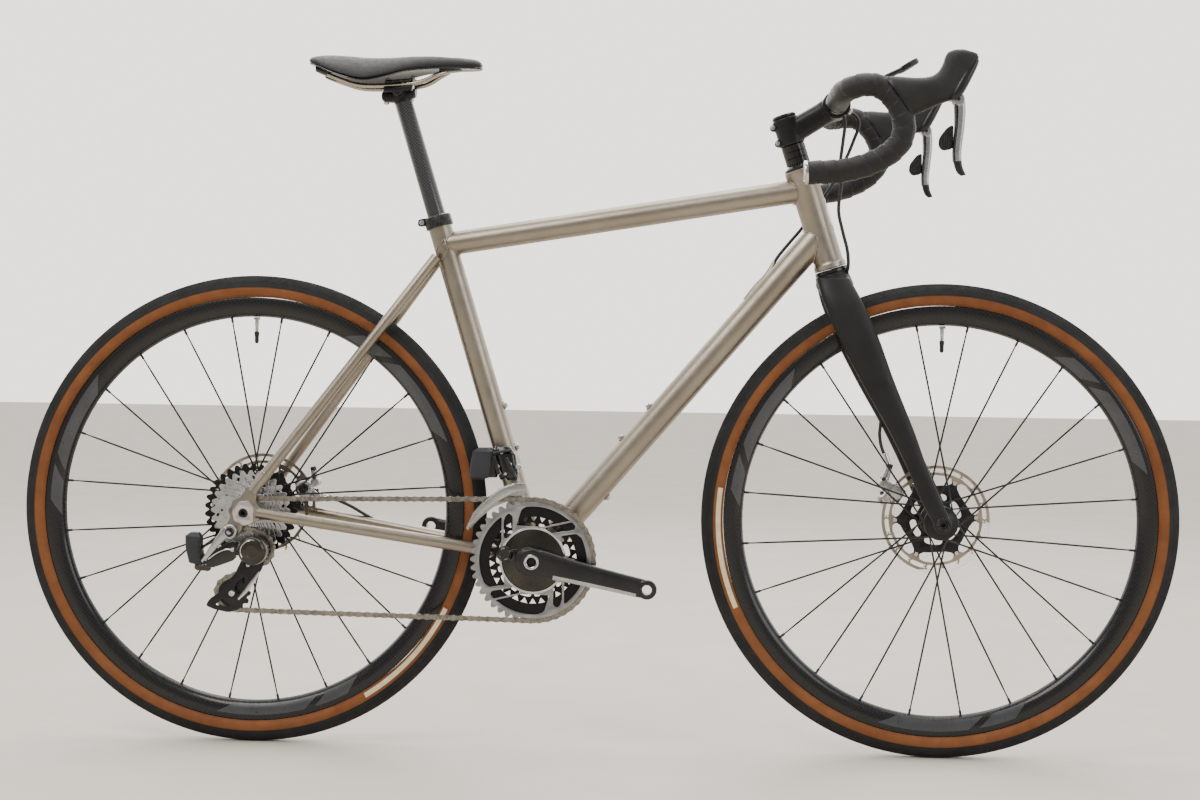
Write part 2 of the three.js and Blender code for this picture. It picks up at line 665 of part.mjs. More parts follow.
const cageOutline = [
  polar(96, 97), polar(96, 112), polar(96, 128), polar(97, 143), polar(103, 157), polar(110, 155),
  polar(112, 143), polar(114, 128), polar(114.5, 112), polar(112, 97),
];
const cageBridge = [polar(108, 99), polar(108, 111), polar(114.4, 111), polar(112, 99)];
const cageTail = [polar(103.5, 152), polar(103.5, 156), polar(108.5, 155), polar(108.5, 151.5)];
const frontCage = joined(
  plate(cageOutline, -58, -56.6),
  plate(cageOutline, -44.6, -43.4),
  plate(cageBridge, -57.5, -44),
  plate(cageTail, -57.5, -44),
);
addMesh(bicycle, "front_derailleur_cage", frontCage, "#a8abae", 0.3, 0.95);

// ---- rear derailleur: knuckle, link, pulley body and cage ----
const linkHinge = v(0, 0.756, 0.655);
const linkTip = v(-513, -86, 296);
const linkDirection = v(1, 0, 0).multiplyScalar(Math.cos(linkRestAngle))
  .addScaledVector(shiftDirection, -Math.sin(linkRestAngle));
const linkRoot = linkTip.clone().addScaledVector(linkDirection, -linkLength);
const onLinkHinge = (point, height) => point.clone().addScaledVector(linkHinge, height);

function ear(point, low, high, radius) {
  return rod(onLinkHinge(point, low), onLinkHinge(point, high), radius, 8);
}

const behindRoot = linkRoot.clone().add(v(-13, 0, 0));
const linkWidthways = v(1, 0, 0).cross(linkHinge).normalize();

// A cheek of the fork that holds the link's root, joined to the post behind it.
function forkCheek(height) {
  return loft([linkRoot, behindRoot].map((point) => ({
    at: onLinkHinge(point, height).toArray(),
    across: linkWidthways.clone().multiplyScalar(6.6).toArray(),
    over: linkHinge.clone().multiplyScalar(1.7).toArray(),
  })), 8, 0.6);
}

const knuckle = joined(
  rod(v(hangerEye.x, -79.5, hangerEye.z), v(hangerEye.x, -93, hangerEye.z), 11, 12),
  loft([
    { at: [-526, -86, 318], across: [8, 0, 5], over: [0, 6, 0] },
    { at: [-548, -84, 303], across: [8, 0, 6], over: [0, 6, 0] },
    { at: [-566, -80, 296], across: [7, 0, 7], over: [0, 6, 0] },
    { at: [-576, -73, 286], across: [5, 0, 7], over: [0, 6, 0] },
  ], 10, 0.7),
  forkCheek(10.6),
  forkCheek(-10.6),
  ear(linkRoot, 8.7, 12.7, 6.8),
  ear(linkRoot, -12.7, -8.7, 6.8),
  ear(behindRoot, -12, 12, 5.7),
  loft([
    { at: [-572, -72, 272], across: [4, 0, 0], over: [0, 9, 0] },
    { at: [-578, -72, 276], across: [11, 0, 0], over: [0, 11, 0] },
    { at: [-582, -74, 314], across: [11, 0, 0], over: [0, 11, 0] },
    { at: [-582, -74, 319], across: [8, 0, 0], over: [0, 9, 0] },
  ], 10, 0.6),
);
addMesh(frame, "derailleur_knuckle", knuckle, "#9a9c9f", 0.35, 0.85);

const linkSolid = joined(
  ear(linkRoot, -8, 8, 6),
  ear(linkTip, -8, 8, 6),
  loft([0, 1].map((t) => {
    const centre = linkRoot.clone().lerp(linkTip, t);
    return {
      at: centre.toArray(),
      across: linkHinge.clone().multiplyScalar(7.8).toArray(),
      over: linkDirection.clone().cross(linkHinge).multiplyScalar(5).toArray(),
    };
  }), 8, 0.5),
);
addMesh(bicycle, "derailleur_link", linkSolid, "#232427", 0.35, 0.6);

const sweptSlot = joined(...[0, 8, 15].map((ahead) => {
  const at = linkTip.clone().add(v(ahead - 4, 0, 0));
  return ear(at, -9, 9, 9);
}), ear(linkTip.clone().addScaledVector(linkDirection, -10), -9, 9, 9),
ear(linkTip.clone().add(v(-9, 0, 0)).addScaledVector(shiftDirection, -6), -9, 9, 9),
ear(linkTip.clone().add(v(-12, 0, 0)), -9, 9, 12));
const pulleyBody = cutBy(
  joined(
    rod(v(guidePulley.x, -75.5, guidePulley.z), v(guidePulley.x, -101, guidePulley.z), 21.5, 18),
    rod(v(guidePulley.x, -73.9, guidePulley.z), v(guidePulley.x, -77, guidePulley.z), 9, 10),
  ),
  sweptSlot,
);
addMesh(bicycle, "derailleur_body", pulleyBody, "#26231f", 0.35, 0.5);

const cageRadius = 12;
const outerCage = [
  [guidePulley.x - 11, guidePulley.z + 5], [guidePulley.x - 3, guidePulley.z + 12],
  [guidePulley.x + 8, guidePulley.z + 9], [guidePulley.x + 12, guidePulley.z - 2],
  [-479, 268], [-497, 240], [-504, 218], [-514, 206], [-530, 201.5], [-552, 206], [-562, 212.5],
  [-556, 222], [-541, 232], [-530, 246], [-515, 266], [-503, 284],
];
const innerCage = [
  ...circle(guidePulley.x, guidePulley.z, cageRadius, 8, 0.3).slice(0, 4),
  ...circle(tensionPulley.x, tensionPulley.z, cageRadius + 1, 8, 0.3).slice(3, 8),
];
const rearCage = joined(
  plate(outerCage, smallCogY - 7.2, smallCogY - 5.4),
  plate(innerCage, smallCogY + 5.2, smallCogY + 6.8),
  rod(v(guidePulley.x, smallCogY - 6.4, guidePulley.z), v(guidePulley.x, smallCogY + 6, guidePulley.z), 3, 8),
  rod(v(tensionPulley.x, smallCogY - 6.4, tensionPulley.z),
    v(tensionPulley.x, smallCogY + 6, tensionPulley.z), 3, 8),
);
addMesh(bicycle, "derailleur_cage", rearCage, "#202124", 0.4, 0.5);

function pulley(teeth, rootDrop, tipRise) {
  const hole = [circle(0, 0, 3.6, 8).reverse()];
  const disc = plate(sprocketOutline(teeth, rootDrop, tipRise), -0.9, 0.9, hole);
  return disc.add(plate(circle(0, 0, 8, 10), -3.6, 3.6, hole));
}

function addAt(position, name, solid, ...look) {
  const holder = new THREE.Group();
  holder.position.copy(position);
  bicycle.add(holder);
  addMesh(holder, name, solid, ...look);
}

// The guide pulley runs against the closed back of the chain band, so its teeth stay short.
addAt(guidePulley, "guide_pulley", pulley(pulleyTeeth, 7, -5.4), "#1d1e20", 0.5, 0);
addAt(tensionPulley, "tension_pulley", pulley(pulleyTeeth, 3.8, 2.5), "#1d1e20", 0.5, 0);

// ---- wheels ----
const tyreProfile = [
  [316.1, -12.5], [326, -18.5], [339, -15.6], [348, -4.5], [348, 4.5], [339, 15.6], [326, 18.5],
  [316.1, 12.5], [316.1, 9.5], [343.5, 0], [316.1, -9.5],
].map(([r, y]) => [r, (y * tyreHalfWidth) / 18.5]);
const rimProfile = [
  [rimOuterRadius, -12.5], [300, -12.5], [rimInnerRadius, -4], [rimInnerRadius, 4], [300, 12.5],
  [rimOuterRadius, 12.5], [rimOuterRadius, 10], [300, 0], [rimOuterRadius, -10],
];

// Two-cross lacing: each spoke meets the rim 60 degrees away from its flange hole.
function lacedHub(hubProfile, flanges) {
  const spokes = [];
  flanges.forEach((flangeY, side) => {
    for (let i = 0; i < spokesPerSide; i += 1) {
      const rimAngle = THREE.MathUtils.degToRad(7.5 + 30 * i + 15 * side);
      const hubAngle = rimAngle + (i % 2 === 0 ? 1 : -1) * THREE.MathUtils.degToRad(60);
      const lean = i % 2 === 0 ? 1.2 : -1.2;
      const from = v((flangeRadius - 3) * Math.cos(hubAngle), flangeY + lean, (flangeRadius - 3) * Math.sin(hubAngle));
      const to = v(285 * Math.cos(rimAngle), flangeY > 0 ? 1.5 : -1.5, 285 * Math.sin(rimAngle));
      spokes.push(rod(from, to, 1.15, 3));
    }
  });
  return joined(turned(hubProfile, 14), ...spokes);
}

const rotorTrackInner = 64;
function rotorSolid(rotorY) {
  const windows = [];
  for (let i = 0; i < 6; i += 1) {
    const start = (Math.PI / 3) * i;
    const corner = (r, a) => [r * Math.cos(start + a), r * Math.sin(start + a)];
    windows.push([
      corner(30, 0.2), corner(rotorTrackInner, 0.3), corner(rotorTrackInner, 0.95), corner(30, 0.72),
    ].reverse());
  }
  const bore = circle(0, 0, 17.8, 14).reverse();
  const half = rotorThickness / 2;
  return plate(circle(0, 0, rotorRadius, 32), rotorY - half, rotorY + half, [bore, ...windows]);
}

function addWheel(prefix, axle, hubProfile, flanges, rotorY) {
  const wheel = new THREE.Group();
  wheel.position.copy(axle);
  bicycle.add(wheel);
  addMesh(wheel, `${prefix}_tyre`, turned(tyreProfile, wheelFacets), "#1b1a19", 0.85, 0);
  addMesh(wheel, `${prefix}_rim`, turned(rimProfile, wheelFacets), "#141416", 0.25, 0.1);
  addMesh(wheel, `${prefix}_hub`, lacedHub(hubProfile, flanges), "#1c1d20", 0.4, 0.7);
  addMesh(wheel, `${prefix}_rotor`, rotorSolid(rotorY), "#6e675f", 0.3, 0.95);
}

const frontHubProfile = [
  [6.6, -49.7], [10.5, -49.7], [flangeRadius, -36], [flangeRadius, -30], [12, -27], [12, 17],
  [flangeRadius, 20], [flangeRadius, 26], [17.1, 27], [17.1, 42.5], [10, 49.7], [6.6, 49.7],
];
const rearHubProfile = [
  [6.6, -70.6], [12.3, -70.6], [12.3, -25.6], [flangeRadius, -23], [flangeRadius, -17],
  [14, -14], [14, 27], [flangeRadius, 30], [flangeRadius, 36], [17.1, 37], [17.1, 58],
  [10, 70.6], [6.6, 70.6],
];
addWheel("rear", rearAxle, rearHubProfile, [-20, 33], rearRotorY);
addWheel("front", frontAxle, frontHubProfile, [-33, 23], frontRotorY);

// ---- steering assembly: fork, stem, bar, levers ----
const steering = new THREE.Group();
bicycle.add(steering);

const bladeStations = [
  [346, 18, 703, 24, 12], [360, 33, 668, 28.5, 12], [381, 43, 620, 29.5, 10.5],
  [410, 50, 555, 24.5, 9.5], [446, 55, 482, 18.5, 8.6], [468, 57, 432, 15, 8],
  [489, 57.2, 385, 15, 7], [506, 56.6, 350, 13, 6.2], [508, 56.6, 338, 8, 6.2],
];
const blade = (side) => loft(bladeStations.map(([x, y, z, halfLength, halfWidth]) => ({
  at: [x, side * y, z],
  across: [halfLength, 0, 0],
  over: [0, halfWidth, 0],
})), 10, 0.75);
const forkEnd = (side) => rod(v(frontAxle.x, side * 50.4, frontAxle.z), v(frontAxle.x, side * 62.8, frontAxle.z), 13, 12);
const fork = cutBy(
  joined(
    rod(alongHead(-30), alongHead(0), 26, 16, 22.5),
    rod(alongHead(-6), alongHead(229), steererRadius, 14),
    blade(1),
    blade(-1),
    forkEnd(1),
    forkEnd(-1),
  ),
  rod(v(frontAxle.x, -90, frontAxle.z), v(frontAxle.x, 90, frontAxle.z), axleRadius + 0.5, 12),
  frontHoseChannel,
);
addMesh(steering, "fork", fork, "#1a1b1d", 0.4, 0.1);

const frontAxleSolid = joined(
  rod(v(frontAxle.x, -62, frontAxle.z), v(frontAxle.x, 64, frontAxle.z), axleRadius, 12),
  rod(v(frontAxle.x, 63.2, frontAxle.z), v(frontAxle.x, 66.5, frontAxle.z), 9.5, 12),
);
addMesh(steering, "front_axle", frontAxleSolid, "#2a2b2d", 0.4, 0.8);

const frontCaliper = caliper(v(419, 27, 368), v(459, 53, 428), frontAxle, frontRotorY);
const leftBladeKeepOut = loft(bladeStations.map(([x, y, z, halfLength, halfWidth]) => ({
  at: [x, y, z],
  across: [halfLength + 0.6, 0, 0],
  over: [0, halfWidth + 0.6, 0],
})), 12, 0.75);
const frontCaliperCut = cutBy(frontCaliper, leftBladeKeepOut, frontHoseChannel);
addMesh(steering, "front_caliper", frontCaliperCut, "#8d8f92", 0.35, 0.85);
addPads(bicycle, "front", frontAxle, 2.57, frontRotorY);
addMesh(steering, "front_hose", hoseSolid(frontHoseRoute), "#141416", 0.55, 0);

const spacerProfile = [[15.1, 160.2], [17.4, 160.2], [17.4, 189.4], [15.1, 189.4]];
addMesh(steering, "headset_spacers", turned(spacerProfile, 14, headsetFoot, headAxis), "#0f1012", 0.2, 0.2);

// Stem and faceplate share one clamp barrel, split by a plane square to the stem.
const stemFoot = alongHead(207);
const stemDirection = barCentre.clone().sub(stemFoot).normalize();
const stemUp = v(-stemDirection.z, 0, stemDirection.x);
const stemSection = (t, halfHeight, halfWidth) => ({
  at: stemFoot.clone().lerp(barCentre, t).toArray(),
  across: [0, halfWidth, 0],
  over: stemUp.clone().multiplyScalar(halfHeight).toArray(),
});
const clampBarrel = rod(v(barCentre.x, -21.5, barCentre.z), v(barCentre.x, 21.5, barCentre.z), 20.4, 16);
const stemBody = joined(
  rod(alongHead(189.8), alongHead(231), 18.6, 14),
  rod(alongHead(230), alongHead(236), 17.2, 14),
  loft([stemSection(0, 18, 16), stemSection(0.3, 17.5, 16), stemSection(0.75, 17, 17),
    stemSection(1, 18.5, 21)], 12, 0.7),
  clampBarrel,
);
const barBore = rod(v(barCentre.x, -40, barCentre.z), v(barCentre.x, 40, barCentre.z), barRadius + 0.8, 16);
const halfSpace = (from, to) => loft([from, to].map((distance) => ({
  at: barCentre.clone().addScaledVector(stemDirection, distance).toArray(),
  across: [0, 60, 0],
  over: stemUp.clone().multiplyScalar(60).toArray(),
})), 4, 1);
const stemSolid = cutBy(
  stemBody,
  rod(alongHead(180), alongHead(229.8), steererRadius + 0.8, 14),
  barBore,
  halfSpace(-0.5, 60),
);
addMesh(steering, "stem", stemSolid, "#17181a", 0.4, 0.3);
const faceplate = cutBy(clampBarrel, barBore, halfSpace(-60, 0));
addMesh(steering, "stem_faceplate", faceplate, "#17181a", 0.4, 0.3);

// Computer mount: two flat arms from the faceplate to a quarter-turn puck.
const puckCentre = v(451, 0, 1013.5);
const mountArm = [
  { at: [367, 0, 967.5], across: [0, 15, 0], over: [1.6, 0, -3] },
  { at: [392, 0, 983], across: [0, 10, 0], over: [1.3, 0, -2.6] },
  { at: [440, 0, 1007], across: [0, 13, 0], over: [1.3, 0, -2.6] },
];
const computerMount = cutBy(
  joined(
    loft(mountArm, 8, 0.6),
    rod(puckCentre.clone().addScaledVector(stemUp, -4), puckCentre.clone().addScaledVector(stemUp, 4), 17, 16),
  ),
  rod(v(barCentre.x, -30, barCentre.z), v(barCentre.x, 30, barCentre.z), 20.4 + FIT, 16),
);
addMesh(steering, "computer_mount", computerMount, "#1a1b1c", 0.5, 0.1);

// Drop bar with its tape, drawn for the left half and mirrored to the right.
const barHalf = [
  v(346.5, 0, 954), v(346.5, 60, 954), v(346.5, 120, 954), v(347, 160, 954), v(351, 181, 955),
  v(362, 198, 958), v(378, 204, 960), v(394, 205, 957), v(410, 205.5, 945), v(423, 206, 925),
  v(428, 206.5, 903), v(423, 207, 882), v(405, 208, 864), v(378, 209, 850.5), v(344, 210, 842),
  v(296, 211, 839.3),
];
const barPath = [...barHalf.slice(1).reverse(), ...barHalf.map(mirrored)];
addMesh(steering, "handlebar", sweep(barPath, barRadius, 10), "#161617", 0.75, 0);
const barKeepOut = sweep(barPath, barRadius + 0.6, 10);

const hoodStations = [
  [413, 953, 17, 16], [428, 948, 22, 16.5], [445, 946, 24, 16.5], [464, 952, 19.5, 16],
  [480, 963, 27, 15.5], [498, 973.5, 31, 14.5], [514, 981, 23, 12.5], [526, 986, 10, 8],
];
function hood(side) {
  const y = side * leverPivot.y;
  const body = loft(hoodStations.map(([x, z, halfHeight, halfWidth]) => ({
    at: [x, y, z],
    across: [0, halfWidth, 0],
    over: [0, 0, halfHeight],
  })), 12, 0.75);
  const pocket = rod(v(leverPivot.x, y - 30, leverPivot.z), v(leverPivot.x, y + 30, leverPivot.z), 10.8, 12);
  return cutBy(body, barKeepOut, pocket);
}

function brakeLever(side) {
  const y = side * leverPivot.y;
  const head = rod(v(leverPivot.x, y - 9, leverPivot.z), v(leverPivot.x, y + 9, leverPivot.z), 9, 12);
  const bladeStationsXZ = [
    [502, 939, 7.5, 8.5], [503.5, 915, 6.8, 8], [501.8, 871, 6.2, 7], [505, 847, 5.8, 6],
    [508.5, 838, 4, 4.5],
  ];
  return head.add(loft(bladeStationsXZ.map(([x, z, halfDepth, halfWidth]) => ({
    at: [x, y, z],
    across: [halfDepth, 0, 0],
    over: [0, halfWidth, 0],
  })), 8, 0.75));
}

const paddleOutline = [[494.2, 906], [486, 902], [476, 889], [475, 882], [480, 871], [494.2, 873.5]];
for (const [label, side] of [["right", -1], ["left", 1]]) {
  const y = side * leverPivot.y;
  addMesh(steering, `hood_${label}`, hood(side), "#1b1b1c", 0.7, 0);
  addMesh(bicycle, `brake_lever_${label}`, brakeLever(side), "#8c8e91", 0.3, 0.7);
  addMesh(bicycle, `shift_paddle_${label}`, plate(paddleOutline, y - 3, y + 3), "#222325", 0.45, 0.2);
}

export default bicycle;
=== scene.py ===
"""The looks of a titanium road bicycle with drop bars, disc brakes and a two-ring drivetrain."""

import math

import bmesh
import bpy
import numpy as np
from mathutils import Matrix, Vector


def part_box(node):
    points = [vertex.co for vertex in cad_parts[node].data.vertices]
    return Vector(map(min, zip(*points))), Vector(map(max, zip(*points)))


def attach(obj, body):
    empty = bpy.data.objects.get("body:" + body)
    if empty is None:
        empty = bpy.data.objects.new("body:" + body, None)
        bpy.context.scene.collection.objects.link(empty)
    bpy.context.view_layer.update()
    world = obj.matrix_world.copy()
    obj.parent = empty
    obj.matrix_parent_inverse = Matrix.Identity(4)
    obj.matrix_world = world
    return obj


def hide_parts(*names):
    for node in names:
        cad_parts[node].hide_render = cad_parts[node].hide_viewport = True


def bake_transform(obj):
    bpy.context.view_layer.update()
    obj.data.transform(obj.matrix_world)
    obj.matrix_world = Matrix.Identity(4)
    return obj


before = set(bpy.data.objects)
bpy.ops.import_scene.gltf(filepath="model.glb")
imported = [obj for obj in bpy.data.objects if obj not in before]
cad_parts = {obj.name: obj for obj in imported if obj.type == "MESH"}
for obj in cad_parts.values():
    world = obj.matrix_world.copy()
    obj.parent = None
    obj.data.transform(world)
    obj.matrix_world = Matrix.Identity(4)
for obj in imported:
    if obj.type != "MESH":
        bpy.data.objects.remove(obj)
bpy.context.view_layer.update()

# ---- driving dimensions, in millimetres, in the frame's own axes ----
MM = 0.001
TURN = 2 * math.pi


def middle(node):
    """The centre of a solid of the part, in millimetres."""
    low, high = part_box(node)
    return (low + high) * 500


rear_axle = middle("rear_tyre")
front_axle = middle("front_tyre")
bottom_bracket = middle("bottom_bracket_shell")
guide_pulley = middle("guide_pulley")
tension_pulley = middle("tension_pulley")
headset_foot = Vector((343.6, 0, 716.1))
bar_centre = Vector((346.5, 0, 954))
seat_angle = math.radians(73)
head_angle = math.radians(72)
head_axis = Vector((-math.cos(head_angle), 0, math.sin(head_angle)))
seat_axis = Vector((-math.cos(seat_angle), 0, math.sin(seat_angle)))
crank_angle = math.radians(12)
lever_pivot = Vector((500, 206, 940))
tube_radius = 17.25
down_tube_radius = 20.25
rim_inner = 287.0
sidewall_top = 331.0
flange_radius = 25.0
rotor_radius = 80.0
chain_pitch = 12.7
big_ring_y = -50.0
small_ring_y = -42.6
small_cog_y = -66.0
large_cog_y = -27.0
big_teeth = 44
small_teeth = 30
pulley_teeth = 12
cog_teeth = (10, 11, 12, 13, 14, 15, 17, 19, 21, 24, 28, 33)


def along_head(s):
    """A point on the steering axis, s up from the head tube's foot."""
    return headset_foot + head_axis * s


def along_seat(s):
    """A point on the seat tube's axis, s up from the bottom bracket."""
    return bottom_bracket + seat_axis * s


def pitch_radius(teeth):
    """The radius at which a chain's pins lie on a wheel of so many teeth."""
    return chain_pitch / (2 * math.sin(math.pi / teeth))


# ---- shapes: a shape is (points in millimetres, faces) ----
def merged(*shapes):
    """Several shapes as one."""
    points, faces, start = [], [], 0
    for shape_points, shape_faces in shapes:
        points.append(np.asarray(shape_points, float))
        faces.extend(tuple(i + start for i in face) for face in shape_faces)
        start += len(shape_points)
    return np.concatenate(points), faces


def placed(shape, matrix):
    """A shape moved by a matrix."""
    points = np.asarray(shape[0], float)
    m = np.array(matrix, float)
    return points @ m[:3, :3].T + m[:3, 3], shape[1]


def mirrored(shape):
    """A shape reflected to the bicycle's other side."""
    return np.asarray(shape[0], float) * (1, -1, 1), shape[1]


def both_sides(shape):
    """A shape together with its reflection."""
    return merged(shape, mirrored(shape))


def skin(rings, closed=False):
    """A surface through rings of equal point counts, capped unless it is closed on itself."""
    count, total = len(rings[0]), len(rings)
    faces = []
    for i in range(total if closed else total - 1):
        a, b = i * count, ((i + 1) % total) * count
        for j in range(count):
            k = (j + 1) % count
            faces.append((a + j, a + k, b + k, b + j))
    if not closed:
        faces.append(tuple(range(count - 1, -1, -1)))
        faces.append(tuple((total - 1) * count + j for j in range(count)))
    return np.concatenate([np.asarray(ring, float) for ring in rings]), faces


def sheet(rows):
    """An open surface through rows of equal point counts."""
    columns = len(rows[0])
    faces = [
        (a * columns + b, a * columns + b + 1, (a + 1) * columns + b + 1, (a + 1) * columns + b)
        for a in range(len(rows) - 1) for b in range(columns - 1)
    ]
    return np.array([point for row in rows for point in row]), faces


def curve_through(points, steps=6, closed=False):
    """Centripetal Catmull-Rom points through rows whose first three numbers are a place."""
    rows = np.asarray(points, float)
    if closed:
        rows = np.vstack([rows[-1], rows, rows[:2]])
    else:
        rows = np.vstack([2 * rows[0] - rows[1], rows, 2 * rows[-1] - rows[-2]])
    path = []
    for p0, p1, p2, p3 in zip(rows, rows[1:], rows[2:], rows[3:]):
        g0, g1, g2 = (max(np.linalg.norm((b - a)[:3]) ** 0.5, 1e-3)
                      for a, b in ((p0, p1), (p1, p2), (p2, p3)))
        m1 = g1 * ((p1 - p0) / g0 - (p2 - p0) / (g0 + g1) + (p2 - p1) / g1)
        m2 = g1 * ((p2 - p1) / g1 - (p3 - p1) / (g1 + g2) + (p3 - p2) / g2)
        for k in range(steps):
            t = k / steps
            start = (2 * t**3 - 3 * t**2 + 1) * p1 + (t**3 - 2 * t**2 + t) * m1
            path.append(start + (3 * t**2 - 2 * t**3) * p2 + (t**3 - t**2) * m2)
    if not closed:
        path.append(rows[-2])
    return np.array(path)


def distances(path):
    """How far along a path each of its points lies."""
    gaps = np.linalg.norm(np.diff(path, axis=0), axis=1)
    return np.concatenate([[0], np.cumsum(gaps)])


def points_at(path, along, stops):
    """The places on a path at given distances along it."""
    return np.stack([np.interp(stops, along, path[:, k]) for k in range(3)], axis=1)


def unit(vector):
    """A vector's direction, one long."""
    return vector / np.linalg.norm(vector)


def tube(points, radius, sides=16, closed=False, flat=1.0):
    """A round tube along points; radius is a number or a function of (step share, angle)."""
    path = np.asarray(points, float)
    ahead = np.roll(path, -1, axis=0) - np.roll(path, 1, axis=0)
    if not closed:
        ahead[0], ahead[-1] = path[1] - path[0], path[-1] - path[-2]
    across = np.cross(ahead[0], (0, 1, 0) if abs(unit(ahead[0])[1]) < 0.9 else (1, 0, 0))
    angles = np.arange(sides) * TURN / sides
    rings = []
    for i, (point, tangent) in enumerate(zip(path, ahead)):
        tangent = unit(tangent)
        across = unit(across - tangent * (across @ tangent))
        over = np.cross(tangent, across)
        share = i / max(len(path) - 1, 1)
        size = np.array([radius(share, a) for a in angles]) if callable(radius) else np.full(sides, radius)
        rings.append(
            point
            + np.outer(size * np.cos(angles), across)
            + np.outer(size * np.sin(angles) * flat, over)
        )
    return skin(rings, closed)


def turned(profile, origin=(0, 0, 0), axis=(0, 1, 0), sides=64):
    """A profile of (radius, distance along the axis) pairs, turned about that axis."""
    axis = Vector(axis).normalized()
    spin = axis.orthogonal().normalized()
    other = axis.cross(spin)
    rings = []
    for i in range(sides):
        angle = TURN * i / sides
        out = spin * math.cos(angle) + other * math.sin(angle)
        rings.append([list(Vector(origin) + out * r + axis * s) for r, s in profile])
    return skin(rings, closed=True)


def rod(start, end, radius, chamfer=0.4, sides=32, end_radius=None, bore=0.0):
    """A cylinder with softened rims, hollow if it has a bore."""
    start, end = Vector(start), Vector(end)
    length = (end - start).length
    last = radius if end_radius is None else end_radius
    profile = [
        (bore, 0), (radius - chamfer, 0), (radius, chamfer),
        (last, length - chamfer), (last - chamfer, length), (bore, length),
    ]
    return turned(profile, start, end - start, sides)


def cross_rod(x, z, low, high, radius, chamfer=0.4, sides=32):
    """A rod along Y, from y low to y high."""
    return rod((x, low, z), (x, high, z), radius, chamfer, sides)


def bulge(value, squareness):
    """Sines or cosines squared off; a squareness of 1.0 leaves them round."""
    return np.sign(value) * np.abs(value) ** squareness


def loft(sections, sides=32, squareness=1.0):
    """Squared ellipses through sections of (centre, half width vector, half height vector)."""
    angles = np.arange(sides) * TURN / sides
    wide = bulge(np.cos(angles), squareness)
    tall = bulge(np.sin(angles), squareness)
    rings = [np.asarray(c, float) + np.outer(wide, a) + np.outer(tall, o) for c, a, o in sections]
    return skin(rings)


def upright_loft(rows, sides, squareness, lean=0.0):
    """A loft up through rows of (x, y, z, half depth, half width), its sections level or leaning."""
    return loft([((x, y, z), (a, 0, a * lean), (0, w, 0)) for x, y, z, a, w in rows], sides, squareness)


def plate(outline, low, high, holes=(), chamfer=0.3, steps=1):
    """An outline in the x-z plane, with holes, thickened from y low to y high."""
    curve = bpy.data.curves.new("outline", "CURVE")
    curve.dimensions = "2D"
    curve.fill_mode = "BOTH"
    curve.extrude = (high - low) / 2 - chamfer
    curve.bevel_depth = chamfer
    curve.bevel_resolution = steps - 1
    curve.offset = -chamfer
    for loop in (outline, *holes):
        spline = curve.splines.new("POLY")
        spline.points.add(len(loop) - 1)
        for point, (x, z) in zip(spline.points, loop):
            point.co = (x, z, 0, 1)
        spline.use_cyclic_u = True
    holder = bpy.data.objects.new("outline", curve)
    bpy.context.scene.collection.objects.link(holder)
    mesh = bpy.data.meshes.new_from_object(holder.evaluated_get(bpy.context.evaluated_depsgraph_get()))
    points = np.array([(v.co.x, (low + high) / 2 - v.co.z, v.co.y) for v in mesh.vertices])
    faces = [tuple(p.vertices) for p in mesh.polygons]
    bpy.data.objects.remove(holder)
    bpy.data.curves.remove(curve)
    bpy.data.meshes.remove(mesh)
    return points, faces


def clean_mesh(name, shape, scale):
    """A shape's mesh, scaled, with doubled points and empty faces gone and normals outward."""
    mesh = bpy.data.meshes.new(name)
    mesh.from_pydata((np.asarray(shape[0], float) * scale).tolist(), [], shape[1])
    work = bmesh.new()
    work.from_mesh(mesh)
    bmesh.ops.remove_doubles(work, verts=work.verts, dist=0.004 * scale)
    bmesh.ops.dissolve_degenerate(work, edges=work.edges, dist=0.002 * scale)
    bmesh.ops.recalc_face_normals(work, faces=work.faces)
    work.to_mesh(mesh)
    work.free()
    return mesh


def fused(shapes, voxel, rounds=6):
    """Overlapping closed shapes melted into one smooth casting."""
    mesh = clean_mesh("casting", merged(*shapes), 1.0)
    holder = bpy.data.objects.new("casting", mesh)
    bpy.context.scene.collection.objects.link(holder)
    remesh = holder.modifiers.new("remesh", "REMESH")
    remesh.mode = "VOXEL"
    remesh.voxel_size = voxel
    smooth = holder.modifiers.new("smooth", "SMOOTH")
    smooth.factor = 0.6
    smooth.iterations = rounds
    cast = bpy.data.meshes.new_from_object(holder.evaluated_get(bpy.context.evaluated_depsgraph_get()))
    shape = np.array([v.co for v in cast.vertices], float), [tuple(p.vertices) for p in cast.polygons]
    bpy.data.objects.remove(holder)
    bpy.data.meshes.remove(cast)
    bpy.data.meshes.remove(mesh)
    return shape


def cut(shape, tool):
    """A shape with a tool's volume taken away."""
    made = []
    for name, part in (("body", shape), ("tool", tool)):
        made.append(bpy.data.objects.new(name, clean_mesh(name, part, 1.0)))
        bpy.context.scene.collection.objects.link(made[-1])
    modifier = made[0].modifiers.new("cut", "BOOLEAN")
    modifier.operation = "DIFFERENCE"
    modifier.object = made[1]
    modifier.solver = "EXACT"
    mesh = bpy.data.meshes.new_from_object(made[0].evaluated_get(bpy.context.evaluated_depsgraph_get()))
    result = np.array([v.co for v in mesh.vertices], float), [tuple(p.vertices) for p in mesh.polygons]
    for holder in made:
        bpy.data.objects.remove(holder)
    bpy.data.meshes.remove(mesh)
    return result


def circle(cx, cz, radius, count=32, start=0.0, sweep=TURN):
    """Points of a circle, or of an arc with both its ends when sweep is less than a turn."""
    last = count if sweep >= TURN else count - 1
    angles = [start + sweep * i / last for i in range(count)]
    return [(cx + radius * math.cos(a), cz + radius * math.sin(a)) for a in angles]


